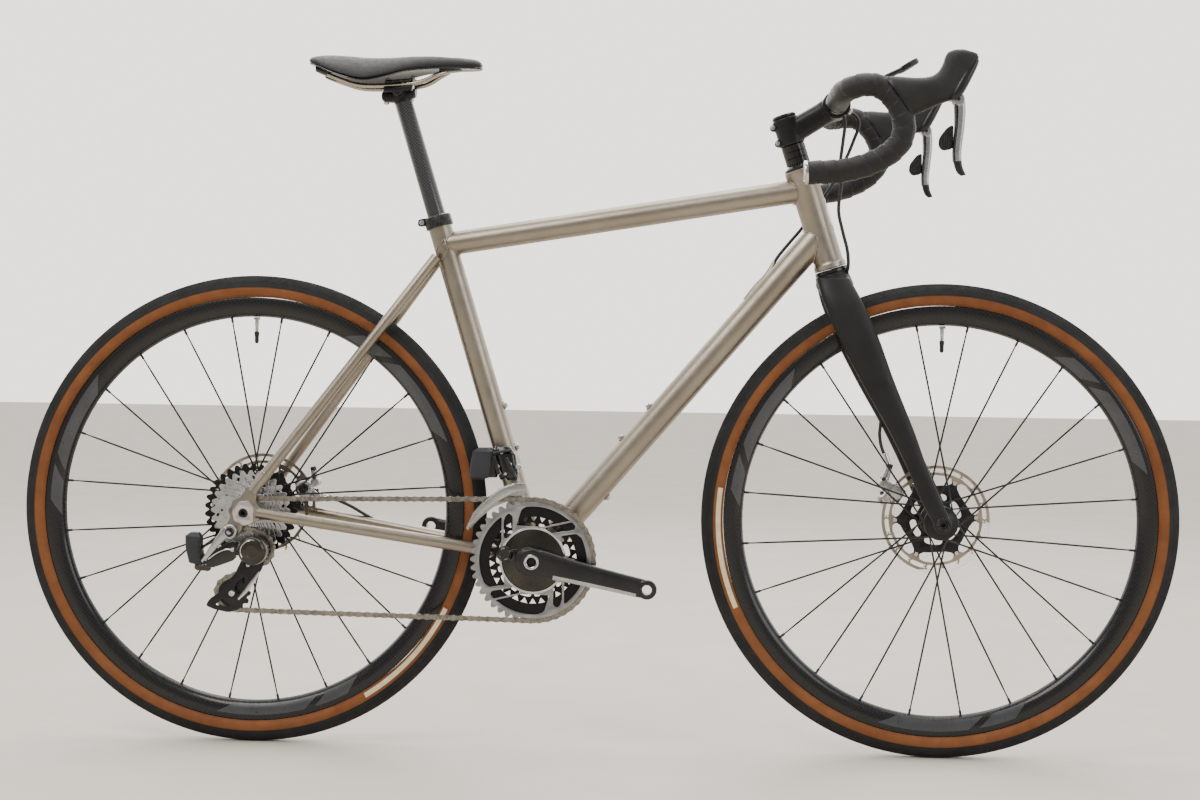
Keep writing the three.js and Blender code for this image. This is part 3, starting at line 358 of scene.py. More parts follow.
def rounded(corners, radius, steps=4):
    """A closed outline with its corners rounded."""
    points = [np.array(c, float) for c in corners]
    outline = []
    for before, here, after in zip([points[-1], *points], points, [*points[1:], points[0]]):
        back, ahead = before - here, after - here
        reach = min(radius, 0.45 * np.linalg.norm(back), 0.45 * np.linalg.norm(ahead))
        a, b = here + unit(back) * reach, here + unit(ahead) * reach
        for k in range(steps + 1):
            t = k / steps
            outline.append(tuple((1 - t) ** 2 * a + 2 * t * (1 - t) * here + t**2 * b))
    return outline


def sprocket(teeth, root=3.6, tip=3.1):
    """The outline of a toothed wheel at the origin."""
    radius = pitch_radius(teeth)
    outline = []
    for i in range(teeth):
        for share, height in ((-0.32, -0.6), (-0.17, tip * 0.8), (-0.06, tip), (0.06, tip),
                              (0.17, tip * 0.8), (0.32, -0.6), (0.41, -root * 0.85), (0.5, -root)):
            angle = TURN * (i + share) / teeth
            outline.append(((radius + height) * math.cos(angle), (radius + height) * math.sin(angle)))
    return outline


def socket_bolt(at, direction, radius=3.6, height=2.8):
    """A domed bolt head with a round socket."""
    direction = Vector(direction).normalized()
    head = turned(
        [(0, -1), (radius, -1), (radius, height * 0.55), (radius * 0.8, height), (radius * 0.5, height),
         (radius * 0.46, height * 0.35), (0, height * 0.35)],
        at, direction, 24,
    )
    return head


# ---- finishes ----
class Finish:
    """A procedural material round one Principled shader, in the piece's own coordinates."""

    def __init__(self, name, metal=0.0, coat=0.0, coat_roughness=0.08, specular=0.5):
        self.material = bpy.data.materials.new(name)
        self.material.use_nodes = True
        self.tree = self.material.node_tree
        self.shader = self.tree.nodes["Principled BSDF"]
        self.shader.inputs["Metallic"].default_value = metal
        self.shader.inputs["Coat Weight"].default_value = coat
        self.shader.inputs["Coat Roughness"].default_value = coat_roughness
        self.shader.inputs["Specular IOR Level"].default_value = specular
        self.place = self.node("ShaderNodeTexCoord").outputs["Object"]
        self.normal = None

    def node(self, kind, inputs=None, **settings):
        """A new node with its sockets set or linked and its settings made."""
        made = self.tree.nodes.new(kind)
        for key, value in settings.items():
            setattr(made, key, value)
        for socket, value in (inputs or {}).items():
            if isinstance(value, bpy.types.NodeSocket):
                self.tree.links.new(value, made.inputs[socket])
            else:
                made.inputs[socket].default_value = value
        return made

    def stretched(self, scale):
        """The piece's coordinates, scaled along each axis."""
        return self.node("ShaderNodeMapping", {"Vector": self.place, "Scale": scale}).outputs["Vector"]

    def noise(self, scale, detail=3.0, place=None):
        """Soft noise."""
        inputs = {"Vector": place or self.place, "Scale": scale, "Detail": detail}
        return self.node("ShaderNodeTexNoise", inputs).outputs["Fac"]

    def cells(self, scale, feature="F1"):
        """Distances within a pattern of cells."""
        inputs = {"Vector": self.place, "Scale": scale}
        return self.node("ShaderNodeTexVoronoi", inputs, feature=feature).outputs["Distance"]

    def rings(self, centre, scale):
        """Fine turning marks round the Y axis through a centre."""
        flat = self.node("ShaderNodeVectorMath", {0: self.place, 1: (1, 0, 1)}, operation="MULTIPLY")
        hub = (centre.x * MM, 0, centre.z * MM)
        away = self.node("ShaderNodeVectorMath", {0: flat.outputs[0], 1: hub}, operation="DISTANCE")
        inputs = {"W": away.outputs["Value"], "Scale": scale, "Detail": 2.0}
        return self.node("ShaderNodeTexNoise", inputs, noise_dimensions="1D").outputs["Fac"]

    def ramp(self, value, *stops):
        """A value turned into greys or colours by (position, colour) stops."""
        made = self.node("ShaderNodeValToRGB", {"Fac": value})
        elements = made.color_ramp.elements
        while len(elements) < len(stops):
            elements.new(0.5)
        for element, (position, colour) in zip(elements, stops):
            element.position = position
            grey = isinstance(colour, (int, float))
            element.color = (colour, colour, colour, 1) if grey else (*colour, 1)
        return made.outputs["Color"]

    def mix(self, share, first, second):
        """Two colours mixed by a share."""
        made = self.node("ShaderNodeMix", data_type="RGBA")
        for index, value in ((0, share), (6, first), (7, second)):
            if isinstance(value, bpy.types.NodeSocket):
                self.tree.links.new(value, made.inputs[index])
            else:
                made.inputs[index].default_value = value if index == 0 else (*value, 1)
        return made.outputs[2]

    def colour(self, socket):
        """The shader's base colour."""
        self.tree.links.new(socket, self.shader.inputs["Base Color"])

    def roughness(self, value, low, high):
        """The shader's roughness, from low to high as a value rises."""
        self.tree.links.new(self.ramp(value, (0.3, low), (0.7, high)), self.shader.inputs["Roughness"])

    def bump(self, height, strength, depth=0.0003):
        """One more layer of relief over those already there."""
        inputs = {"Height": height, "Strength": strength, "Distance": depth}
        if self.normal:
            inputs["Normal"] = self.normal
        self.normal = self.node("ShaderNodeBump", inputs).outputs["Normal"]
        self.tree.links.new(self.normal, self.shader.inputs["Normal"])


def shade(colour, factor):
    """A colour made darker or lighter."""
    return tuple(min(1.0, c * factor) for c in colour)


def finish(name, colour, rough=(0.3, 0.45), metal=0.0, spread=0.2, mottle=45, grain=1400, bump=0.12,
           depth=0.0002, wear=None, coat=0.0, specular=0.5):
    """A mottled, grained finish; wear is a colour that shows along sharp edges."""
    made = Finish(name, metal, coat, specular=specular)
    base = made.ramp(made.noise(mottle), (0.3, shade(colour, 1 - spread)), (0.7, shade(colour, 1 + spread)))
    if wear:
        edge = made.ramp(made.node("ShaderNodeNewGeometry").outputs["Pointiness"], (0.52, 0.0), (0.6, 1.0))
        broken = made.ramp(made.noise(260, 4), (0.42, 0.0), (0.6, 0.7))
        share = made.node("ShaderNodeMath", {0: edge, 1: broken}, operation="MULTIPLY").outputs[0]
        base = made.mix(share, base, wear)
    made.colour(base)
    made.roughness(made.noise(mottle * 2.6, 5), *rough)
    made.bump(made.noise(grain, 2), bump, depth)
    return made.material


def titanium_finish():
    """Bead-blasted titanium: fine even grain with faint long clouds of colour."""
    made = Finish("titanium", metal=1.0)
    cloud = made.ramp(made.noise(7, 4), (0.32, (0.25, 0.216, 0.170)), (0.68, (0.335, 0.295, 0.240)))
    smudge = made.ramp(made.noise(38, 6), (0.45, 0.0), (0.75, 0.35))
    made.colour(made.mix(smudge, cloud, (0.37, 0.33, 0.272)))
    made.roughness(made.noise(90, 6), 0.33, 0.42)
    made.bump(made.noise(2600, 2), 0.10, 0.0001)
    made.bump(made.noise(300, 3), 0.04, 0.0002)
    return made.material


def sidewall_finish():
    """Tan casing: crossed threads under thin rubber, a little darker in patches."""
    made = Finish("tan_sidewall", specular=0.3)
    threads = [
        made.node("ShaderNodeTexWave", {"Vector": made.stretched(way), "Scale": 420, "Distortion": 1.5,
                                        "Detail": 1.0}).outputs["Fac"]
        for way in ((1, 0.2, 1), (1, 0.2, -1))
    ]
    weave = made.node("ShaderNodeMath", {0: threads[0], 1: threads[1]}, operation="MULTIPLY").outputs[0]
    base = made.ramp(made.noise(35, 5), (0.3, (0.155, 0.050, 0.014)), (0.7, (0.22, 0.078, 0.022)))
    made.colour(made.mix(made.ramp(weave, (0.2, 0.0), (0.9, 0.35)), base, (0.12, 0.036, 0.010)))
    made.roughness(made.noise(120), 0.55, 0.72)
    made.bump(weave, 0.25, 0.0002)
    return made.material


def weave_finish(name, dark, light, coat, scale=420):
    """Woven carbon: small crossing tows under lacquer."""
    made = Finish(name, metal=0.2, coat=coat, coat_roughness=0.08, specular=0.35)
    checks = made.node("ShaderNodeTexChecker", {"Vector": made.place, "Scale": scale}).outputs["Fac"]
    fibres = made.noise(900, 2, made.stretched((1, 1, 0.12)))
    tone = made.node("ShaderNodeMath", {0: checks, 1: fibres}, operation="MULTIPLY").outputs[0]
    made.colour(made.ramp(tone, (0.1, dark), (0.65, light)))
    made.roughness(checks, 0.26, 0.38)
    made.bump(fibres, 0.05, 0.0001)
    return made.material


def leather_finish(name, colour, grain, rough, strength=0.45):
    """Black grained leather or rubber, its shine varying in soft patches."""
    made = Finish(name, specular=0.32)
    pores = made.cells(grain, "DISTANCE_TO_EDGE")
    base = made.ramp(made.noise(30, 5), (0.3, shade(colour, 0.7)), (0.7, shade(colour, 1.35)))
    made.colour(made.mix(made.ramp(pores, (0.0, 0.6), (0.12, 0.0)), base, shade(colour, 0.5)))
    made.roughness(made.noise(110, 5), *rough)
    made.bump(made.ramp(pores, (0.0, 0.0), (0.25, 1.0)), strength, 0.00025)
    made.bump(made.noise(45, 4), 0.12, 0.0008)
    return made.material


def turned_finish(name, colour, centre, rough, scale=2600, metal=1.0):
    """Steel or alloy with fine turning marks round an axle."""
    made = Finish(name, metal=metal)
    marks = made.rings(centre, scale)
    base = made.ramp(made.noise(60, 5), (0.3, shade(colour, 0.75)), (0.7, shade(colour, 1.2)))
    made.colour(made.mix(made.ramp(marks, (0.4, 0.0), (0.7, 0.4)), base, shade(colour, 0.6)))
    made.roughness(marks, *rough)
    made.bump(marks, 0.10, 0.0001)
    return made.material


def worn_chain_finish(name, colour, rough):
    """Nickel plate with dark oil in patches."""
    made = Finish(name, metal=1.0)
    oil = made.ramp(made.noise(170, 6), (0.42, 0.0), (0.68, 0.75))
    base = made.ramp(made.noise(55, 3), (0.3, shade(colour, 0.85)), (0.7, shade(colour, 1.1)))
    made.colour(made.mix(oil, base, shade(colour, 0.38)))
    made.roughness(made.noise(240, 4), *rough)
    made.bump(made.noise(1500, 2), 0.12, 0.0001)
    return made.material


looks = {
    "titanium": titanium_finish(),
    "bare_titanium": finish("bare_titanium", (0.62, 0.58, 0.58), (0.28, 0.4), 1.0, 0.1, 30, 2200, 0.08),
    "matte_carbon": finish("matte_carbon", (0.010, 0.010, 0.0098), (0.42, 0.55), 0.0, 0.25, 18, 1900, 0.08,
                           specular=0.28),
    "gloss_carbon": weave_finish("gloss_carbon", (0.026, 0.026, 0.027), (0.046, 0.046, 0.048), 0.7),
    "crank_carbon": finish("crank_carbon", (0.012, 0.012, 0.013), (0.26, 0.38), 0.1, 0.25, 30, 1600, 0.06,
                           wear=(0.06, 0.06, 0.06), coat=0.12, specular=0.35),
    "rim_carbon": weave_finish("rim_carbon", (0.006, 0.006, 0.0065), (0.0085, 0.0085, 0.0095), 0.35, 300),
    "rim_patch": finish("rim_patch", (0.055, 0.058, 0.062), (0.25, 0.38), 0.2, 0.12, 30, 1200, 0.05),
    "tread": finish("tread_rubber", (0.012, 0.0125, 0.013), (0.62, 0.8), 0.0, 0.3, 26, 900, 0.35, 0.0003,
                    specular=0.3),
    "sidewall": sidewall_finish(),
    "label": finish("cream_label", (0.66, 0.57, 0.38), (0.5, 0.65), 0.0, 0.12, 70, 1500, 0.1),
    "spoke": finish("black_spoke", (0.012, 0.012, 0.013), (0.28, 0.4), 0.3, 0.2, 90, 1800, 0.08),
    "black_alloy": finish("black_alloy", (0.011, 0.011, 0.012), (0.30, 0.44), 0.3, 0.25, 40, 1700, 0.10,
                          wear=(0.07, 0.07, 0.07), specular=0.35),
    "gloss_black": finish("gloss_black", (0.007, 0.0068, 0.0062), (0.12, 0.22), 0.1, 0.25, 40, 1300, 0.03,
                          coat=0.3, specular=0.4),
    "dark_plastic": finish("dark_plastic", (0.024, 0.026, 0.031), (0.42, 0.54), 0.0, 0.15, 50, 1900, 0.2,
                           specular=0.35),
    "black_plastic": finish("black_plastic", (0.009, 0.009, 0.0095), (0.34, 0.5), 0.0, 0.25, 50, 1900, 0.15,
                            wear=(0.04, 0.04, 0.04), specular=0.35),
    "bronze_plastic": finish("bronze_plastic", (0.024, 0.021, 0.014), (0.16, 0.3), 0.5, 0.5, 34, 1500, 0.06,
                             coat=0.3),
    "silver_alloy": finish("silver_alloy", (0.43, 0.43, 0.43), (0.22, 0.34), 1.0, 0.10, 60, 1500, 0.05),
    "polished": finish("polished_steel", (0.58, 0.58, 0.59), (0.10, 0.22), 1.0, 0.12, 70, 1500, 0.05),
    "ring_silver": turned_finish("ring_silver", (0.33, 0.33, 0.335), bottom_bracket, (0.28, 0.42)),
    "ring_black": turned_finish("ring_black", (0.012, 0.012, 0.014), bottom_bracket, (0.3, 0.45), metal=0.7),
    "cog_silver": turned_finish("cog_silver", (0.52, 0.52, 0.53), rear_axle, (0.16, 0.32)),
    "cog_black": turned_finish("cog_black", (0.012, 0.0125, 0.014), rear_axle, (0.3, 0.45), metal=0.7),
    "rear_rotor": turned_finish("rear_rotor", (0.40, 0.34, 0.28), rear_axle, (0.2, 0.36)),
    "front_rotor": turned_finish("front_rotor", (0.40, 0.34, 0.28), front_axle, (0.2, 0.36)),
    "pad": finish("brake_pad", (0.10, 0.085, 0.07), (0.7, 0.85), 0.3, 0.3, 140, 900, 0.4),
    "chain": worn_chain_finish("chain_nickel", (0.30, 0.272, 0.24), (0.24, 0.4)),
    "rail": finish("rail_metal", (0.42, 0.37, 0.31), (0.18, 0.32), 1.0, 0.15, 40, 1600, 0.05),
    "hose": finish("hose_jacket", (0.008, 0.008, 0.0085), (0.42, 0.56), 0.0, 0.2, 60, 1500, 0.15),
    "saddle": leather_finish("saddle_cover", (0.011, 0.011, 0.0105), 1500, (0.38, 0.52), 0.3),
    "saddle_base": finish("saddle_base", (0.012, 0.012, 0.013), (0.2, 0.34), 0.1, 0.2, 50, 1500, 0.08,
                          coat=0.4),
    "tape": leather_finish("bar_tape", (0.010, 0.0095, 0.009), 950, (0.34, 0.5), 0.5),
    "hood": leather_finish("hood_rubber", (0.013, 0.013, 0.012), 1900, (0.46, 0.6), 0.3),
    "lever": finish("lever_silver", (0.36, 0.36, 0.37), (0.24, 0.34), 0.9, 0.08, 50, 1500, 0.03),
}


# ---- pieces ----
def piece(name, shape, look, body, replaces=(), sharp=32, levels=0):
    """One visible piece from a shape in millimetres. body is a body's name to attach it to, or a tuple
    (first body, second body, start, end), which leaves the piece unattached with its place baked in."""
    made = bpy.data.objects.new(name, clean_mesh(name, shape, MM))
    bpy.context.scene.collection.objects.link(made)
    made.data.polygons.foreach_set("use_smooth", [True] * len(made.data.polygons))
    made.data.set_sharp_from_angle(angle=math.radians(sharp))
    made.data.materials.append(looks[look])
    if levels:
        modifier = made.modifiers.new("subdivision", "SUBSURF")
        modifier.levels = modifier.render_levels = levels
    if replaces:
        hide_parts(*replaces)
    if isinstance(body, str):
        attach(made, body)
    else:
        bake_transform(made)
    return made


# ---- camera, light and floor ----
def make_camera():
    """A camera 3 m out on the drive side, turned a little back and down."""
    data = bpy.data.cameras.new("camera")
    data.lens = 59.91
    data.sensor_width = 36
    data.clip_end = 100
    camera = bpy.data.objects.new("camera", data)
    bpy.context.scene.collection.objects.link(camera)
    right = Vector((0.99828, 0.05708, 0.01364)).normalized()
    ahead = Vector((-0.05665, 0.99794, -0.03020)).normalized()
    over = right.cross(ahead)
    turn = Matrix((right, over, -ahead)).transposed()
    camera.matrix_world = Matrix.Translation((0.1746, -2.9501, 0.6079)) @ turn.to_4x4()
    bpy.context.scene.camera = camera


def make_light(name, at, towards, width, height, power, colour):
    """A soft rectangular lamp at one point, aimed at another."""
    data = bpy.data.lights.new(name, "AREA")
    data.shape = "RECTANGLE"
    data.size = width
    data.size_y = height
    data.energy = power
    data.color = colour
    light = bpy.data.objects.new(name, data)
    bpy.context.scene.collection.objects.link(light)
    light.location = at
    light.rotation_euler = (Vector(towards) - Vector(at)).to_track_quat("-Z", "Y").to_euler()


def make_lamps():
    """Four soft lamps round the bicycle."""
    make_light("key", (-1.6, -2.2, 3.2), (0, 0, 0.5), 2.6, 1.6, 95, (1.0, 0.985, 0.96))
    make_light("fill", (2.8, -2.0, 1.6), (0.2, 0, 0.5), 1.8, 1.8, 34, (0.97, 0.985, 1.0))
    make_light("top", (0.3, 0.4, 3.4), (0, 0, 0.4), 3.4, 1.6, 70, (1.0, 0.99, 0.97))
    make_light("back", (0.0, 3.0, 2.2), (0, 0, 0.5), 3.0, 1.4, 40, (1.0, 0.98, 0.95))


def make_surround():
    """A surround that is dim on the drive side and pale behind the bicycle."""
    world = bpy.data.worlds.new("studio")
    bpy.context.scene.world = world
    world.use_nodes = True
    tree = world.node_tree
    background = tree.nodes["Background"]
    place = tree.nodes.new("ShaderNodeTexCoord")
    parts = tree.nodes.new("ShaderNodeSeparateXYZ")
    tree.links.new(place.outputs["Generated"], parts.inputs[0])
    depth = tree.nodes.new("ShaderNodeMath")
    depth.operation = "MULTIPLY_ADD"
    depth.inputs[1].default_value = 0.5
    depth.inputs[2].default_value = 0.5
    tree.links.new(parts.outputs["Y"], depth.inputs[0])
    ramp = tree.nodes.new("ShaderNodeValToRGB")
    tree.links.new(depth.outputs[0], ramp.inputs["Fac"])
    first, last = ramp.color_ramp.elements
    first.position, first.color = 0.3, (0.19, 0.185, 0.18, 1)
    last.position, last.color = 0.75, (1.0, 0.975, 0.935, 1)
    tree.links.new(ramp.outputs["Color"], background.inputs["Color"])
    background.inputs["Strength"].default_value = 2.35


def make_floor():
    """The plain pale floor."""
    mesh = bpy.data.meshes.new("floor")
    corners = [(-14, -14, 0), (14, -14, 0), (14, 14, 0), (-14, 14, 0)]
    mesh.from_pydata(corners, [], [(0, 1, 2, 3)])
    floor = bpy.data.objects.new("floor", mesh)
    bpy.context.scene.collection.objects.link(floor)
    floor.data.materials.append(finish("pale_floor", (0.56, 0.52, 0.455), (0.5, 0.65), 0, 0.02, 3, 60,
                                       0.05))


make_camera()
make_lamps()
make_surround()
make_floor()

# ---- brake hoses: routes given point by point ----
hose_radius = 2.5
rear_hose_route = [
    (366, 44, 949), (377, 43, 947), (384, 40, 934), (376, 37, 907), (364, 34, 878), (343, 31, 838),
    (320, 30, 803), (301, 26, 776), (281, 16, 752), (266, 8, 733), (257, 4, 718), (243, 1, 697),
    (218, 0, 662), (-20, 0, 362), (-50, 1, 330), (-64, 5, 317.5), (-75.2, 9, 309.6), (-85, 13, 304.7),
    (-93.4, 16, 302.3), (-100.3, 18.5, 297.2), (-105.5, 20.5, 292.2), (-114, 23, 290), (-132, 25.4, 292),
    (-200, 34.5, 302.9), (-280, 45.4, 315.7), (-318, 50.4, 322.4), (-345, 54, 334), (-372, 55, 349),
    (-392, 55, 358), (-407, 55, 364),
]
front_hose_route = [
    (355, -46, 936), (358, -45, 925), (356, -41, 900), (353, -34, 867), (355, -30, 838), (352, -28, 800),
    (359, -27, 768), (366, -24, 742), (368, -18, 722), (366, -9, 708), (364, 5, 697), (366, 20, 688),
    (374, 33, 668), (391, 42, 625), (410, 49, 570), (422, 51.5, 525), (425, 51.5, 495), (423.5, 50, 470),
    (428, 45, 448), (437, 40, 432),
]


def add_hose(name, path, body, replaces):
    """One stretch of brake hose, a tube along the path between its two held ends."""
    made = piece(name, tube(path, hose_radius, 16), "hose", body, replaces)
    return made


port_step = 10
rear_hose_path = curve_through(rear_hose_route, 6)
front_stretch = rear_hose_path[: port_step * 6 + 1]
rear_stretch = rear_hose_path[port_step * 6:]
add_hose("rear_hose_front", front_stretch, ("steering", "frame", front_stretch[12], front_stretch[-10]), ())
piece("rear_hose_run", tube(rear_stretch, hose_radius, 14), "hose", "frame", ("rear_hose",))
add_hose("front_hose", curve_through(front_hose_route, 6), "steering", ("front_hose",))

# ---- frame: tubes, welds, dropouts and small fittings ----
head_joint_top = Vector((306, 0, 831.6))
head_joint_down = Vector((327, 0, 767.2))
seat_joint_top = Vector((-222, 0, 746.3))
seat_tube_top = along_seat(526.5)
stay_front = Vector((-100, -21, 287))
stay_rear = Vector((-489, -76, 348.6))
seatstay_top = Vector((-236, -16.5, 727))
seatstay_foot = Vector((-496, -74, 378.5))
shell_ends = (bottom_bracket - Vector((0, 60, 0)), bottom_bracket + Vector((0, 60, 0)))


def weld(far, near, radius, other_start, other_end, other_radius, bead=1.6):
    """A rippled weld bead where a tube's end meets the side of another tube."""
    count = 144
    far, other_start = Vector(far), Vector(other_start)
    way = (Vector(near) - far).normalized()
    other = (Vector(other_end) - other_start).normalized()
    side = way.orthogonal().normalized()
    over = way.cross(side)
    flat = way - other * way.dot(other)
    path, outward = [], []
    for i in range(count):
        out = side * math.cos(TURN * i / count) + over * math.sin(TURN * i / count)
        start = far + out * radius
        gap = start - other_start
        gap -= other * gap.dot(other)
        a, b, c = flat.dot(flat), flat.dot(gap), gap.dot(gap) - other_radius**2
        reach = (-b - math.sqrt(max(b * b - a * c, 0))) / a
        path.append(start + way * reach)
        outward.append(out)
    rings = []
    for i in range(count):
        along = (path[(i + 1) % count] - path[i - 1]).normalized()
        across = (outward[i] - along * outward[i].dot(along)).normalized()
        over = along.cross(across)
        size = bead * (0.86 + 0.14 * math.cos(TURN * i / 4))
        turn = [TURN * k / 8 for k in range(8)]
        rings.append([list(path[i] + across * size * math.cos(t) + over * size * math.sin(t))
                      for t in turn])
    return skin(rings, closed=True)


def add_tubes():
    """The head, top, down and seat tubes, the bottom bracket shell and its cups."""
    lip = [(15.6, 0.5), (22.9, 0.5), (23.5, 1.2), (23.5, 7), (22.2, 9), (21.5, 11)]
    top_lip = [(21.5, 137), (22.3, 139), (23.5, 141), (23.5, 151.2), (22.9, 151.9), (15.6, 151.9)]
    head_tube = turned(lip + top_lip, headset_foot, head_axis, 96)
    piece("head_tube_shell", head_tube, "titanium", "frame", ("head_tube",))
    top_tube = rod(seat_joint_top, head_joint_top, tube_radius, sides=80)
    piece("top_tube_shell", top_tube, "titanium", "frame", ("top_tube",))
    down_tube = rod(bottom_bracket, head_joint_down, down_tube_radius, sides=80)
    boss_path = curve_through([(222, 0, 667), (236, 0.5, 687), (249, 2, 702), (257, 4, 715),
                               (261.5, 6, 725)], 5)
    boss = tube(boss_path, lambda share, angle: 7.2 - 3.2 * share, 24)
    piece("down_tube_shell", merged(down_tube, boss), "titanium", "frame", ("down_tube",))
    seat_tube = rod(bottom_bracket, seat_tube_top, tube_radius, sides=80)
    piece("seat_tube_shell", seat_tube, "titanium", "frame", ("seat_tube",))
    shell = [(16, -36.5), (23.4, -36.5), (24, -35.9), (24, 35.9), (23.4, 36.5), (16, 36.5)]
    piece("bottom_shell", turned(shell, bottom_bracket, sides=96), "titanium", "frame",
          ("bottom_bracket_shell",))
    cup = [(14.8, 36.6), (21.8, 36.6), (22.6, 37.4), (22.6, 41.5), (21.6, 42.6), (14.8, 42.6)]
    cups = both_sides(turned(cup, bottom_bracket, sides=64))
    piece("bearing_cups", cups, "black_alloy", "frame", ())


def add_stays():
    """The chainstays and seatstays, each with a sleeve ring near the dropout."""
    for label, side in (("right", 1), ("left", -1)):
        turn = Matrix.Diagonal((1, side, 1, 1))
        chainstay = rod(stay_front, stay_rear, 9.5, sides=56, end_radius=7.8)
        sleeve = stay_rear.lerp(stay_front, 0.245)
        way = (stay_front - stay_rear).normalized()
        ring = turned([(8, -1.6), (8.7, -1.2), (8.9, 0), (8.7, 1.2), (8, 1.6)], sleeve, way, 48)
        piece(f"chainstay_tube_{label}", placed(merged(chainstay, ring), turn), "titanium", "frame",
              (f"chainstay_{label}",))
        seatstay = rod(seatstay_foot, seatstay_top, 8, sides=56)
        sleeve = seatstay_foot.lerp(seatstay_top, 0.075)
        way = (seatstay_top - seatstay_foot).normalized()
        ring = turned([(7.6, -1.8), (8.6, -1.3), (8.9, 0), (8.6, 1.3), (7.6, 1.8)], sleeve, way, 48)
        piece(f"seatstay_tube_{label}", placed(merged(seatstay, ring), turn), "titanium", "frame",
              (f"seatstay_{label}",))


def add_dropouts():
    """The dropouts, the right one with the derailleur's hanger and a machined face."""
    dropout = rounded([(-524, 351), (-521, 336), (-507, 329), (-494, 333), (-484, 338), (-484, 358),
                       (-489, 366), (-487, 384), (-501, 388), (-511, 372), (-521, 364)], 3)
    hanger = rounded([(-524, 351), (-521, 345), (-507, 329), (-513.5, 316), (-519, 311.5), (-529, 311.5),
                      (-534, 318), (-534, 326), (-527, 341)], 5)
    axle_hole = circle(rear_axle.x, rear_axle.z, 6.3)
    right = merged(plate(dropout, -79, -71, (axle_hole[::-1],), 0.8, 2),
                   plate(hanger, -78.6, -71.4, (), 0.8, 2))
    piece("dropout_plate_right", right, "titanium", "frame", ("dropout_right",))
    left = plate(dropout, 71, 79, (axle_hole[::-1],), 0.8, 2)
    piece("dropout_plate_left", left, "titanium", "frame", ("dropout_left",))
    face = rounded([(-523.5, 351), (-520.5, 337), (-507, 329.5), (-493, 334), (-491.5, 356), (-499, 366.5),
                    (-513, 365)], 3)
    face_hole = circle(rear_axle.x, rear_axle.z, 7.4)
    piece("dropout_face_right", plate(face, -80.2, -78.4, (face_hole[::-1],), 0.5, 2), "bare_titanium",
          "frame", ())


def add_welds():
    """A bead at every joint between tubes."""
    head = (along_head(0), along_head(152))
    seat = (bottom_bracket, seat_tube_top)
    beads = [
        weld(seat_joint_top, head_joint_top, tube_radius, *head, 21.5),
        weld(bottom_bracket, head_joint_down, down_tube_radius, *head, 21.5),
        weld(head_joint_top, seat_joint_top, tube_radius, *seat, tube_radius),
        weld(head_joint_down, bottom_bracket, down_tube_radius, *shell_ends, 24),
        weld(seat_tube_top, bottom_bracket, tube_radius, *shell_ends, 24),
    ]
    for side in (1, -1):
        turn = Matrix.Diagonal((1, side, 1, 1))
        beads.append(placed(weld(stay_rear, stay_front, 9.4, *shell_ends, 24, 1.3), turn))
        beads.append(placed(weld(seatstay_foot, seatstay_top, 8, *seat, tube_radius, 1.3), turn))
    piece("weld_beads", merged(*beads), "titanium", "frame", (), sharp=60)


def head_badge():
    """A plain oval plate bent round the head tube's front, its edge sunk into the tube."""
    spans = [0.0, 0.52, 0.78, 0.92, 0.98, 1.0, 1.0, 1.0, 0.98, 0.92, 0.78, 0.52, 0.0]
    front = Vector((head_axis.z, 0, -head_axis.x))
    rows = []
    for i, span in enumerate(spans):
        row = []
        for k in range(17):
            angle = (k / 16 - 0.5) * 1.1 * span
            out = front * math.cos(angle) + Vector((0, 1, 0)) * math.sin(angle)
            raised = 0 < i < len(spans) - 1 and 0 < k < 16
            row.append(list(along_head(50 + i * 4.6) + out * (22.15 if raised else 21.3)))
        rows.append(row)
    return sheet(rows)


def add_fittings():
    """The bottle bosses with their bolts, and the badge."""
    down = (head_joint_down - bottom_bracket).normalized()
    down_up = Vector((-down.z, 0, down.x))
    seat_face = Vector((seat_axis.z, 0, -seat_axis.x))
    spots = [
        (bottom_bracket + down * 279, down_up, down_tube_radius),
        (bottom_bracket + down * 217, down_up, down_tube_radius),
        (bottom_bracket + down * 137, -down_up, down_tube_radius),
        (along_seat(165), seat_face, tube_radius),
        (along_seat(229), seat_face, tube_radius),
    ]
    bosses = [rod(at + way * (radius - 3), at + way * (radius + 1.6), 6.2, 0.5, 28)
              for at, way, radius in spots]
    bolts = [socket_bolt(at + way * (radius + 1.8), way, 4.4, 3.2) for at, way, radius in spots]
    piece("bottle_bosses", merged(*bosses), "titanium", "frame", ())
    piece("bottle_bolts", merged(*bolts), "silver_alloy", "frame", ())
    piece("head_badge", head_badge(), "bare_titanium", "frame", ())


def add_collar_and_headset():
    """The seat collar, and the headset's top cover and lower ring."""
    collar = turned([(17.5, 509.2), (20.1, 509.2), (20.6, 509.9), (20.6, 524.6), (20.1, 525.4),
                     (17.5, 525.4)], bottom_bracket, seat_axis, 64)
    ears = [plate(rounded([(-266, 771.5), (-249, 774), (-249, 785), (-266, 782)], 4), y, y + 6, (), 0.8, 2)
            for y in (-8, 2)]
    piece("seat_collar", merged(collar, *ears), "black_alloy", "frame", ("seat_clamp",))
    bolt = merged(socket_bolt((-259.5, -8, 777), (0, -1, 0), 3.8, 2.0),
                  cross_rod(-259.5, 777, -2.2, 2.2, 2.4))
    piece("collar_bolt", bolt, "polished", "frame", ())
    cover = turned([(15, 152.4), (22.6, 152.4), (22.8, 153.2), (22.4, 155.6), (20.6, 157.4), (18.2, 159.4),
                    (15, 159.8)], headset_foot, head_axis, 80)
    piece("headset_top_cover", cover, "gloss_black", "frame", ("headset_cover",))
    lower = turned([(16, -0.6), (23.8, -0.6), (24.6, 0.4), (24.6, 4.6), (24.0, 5.6), (22, 5.8)],
                   headset_foot - head_axis * 6.2, head_axis, 96)
    piece("headset_lower_ring", lower, "gloss_black", "steering", ())


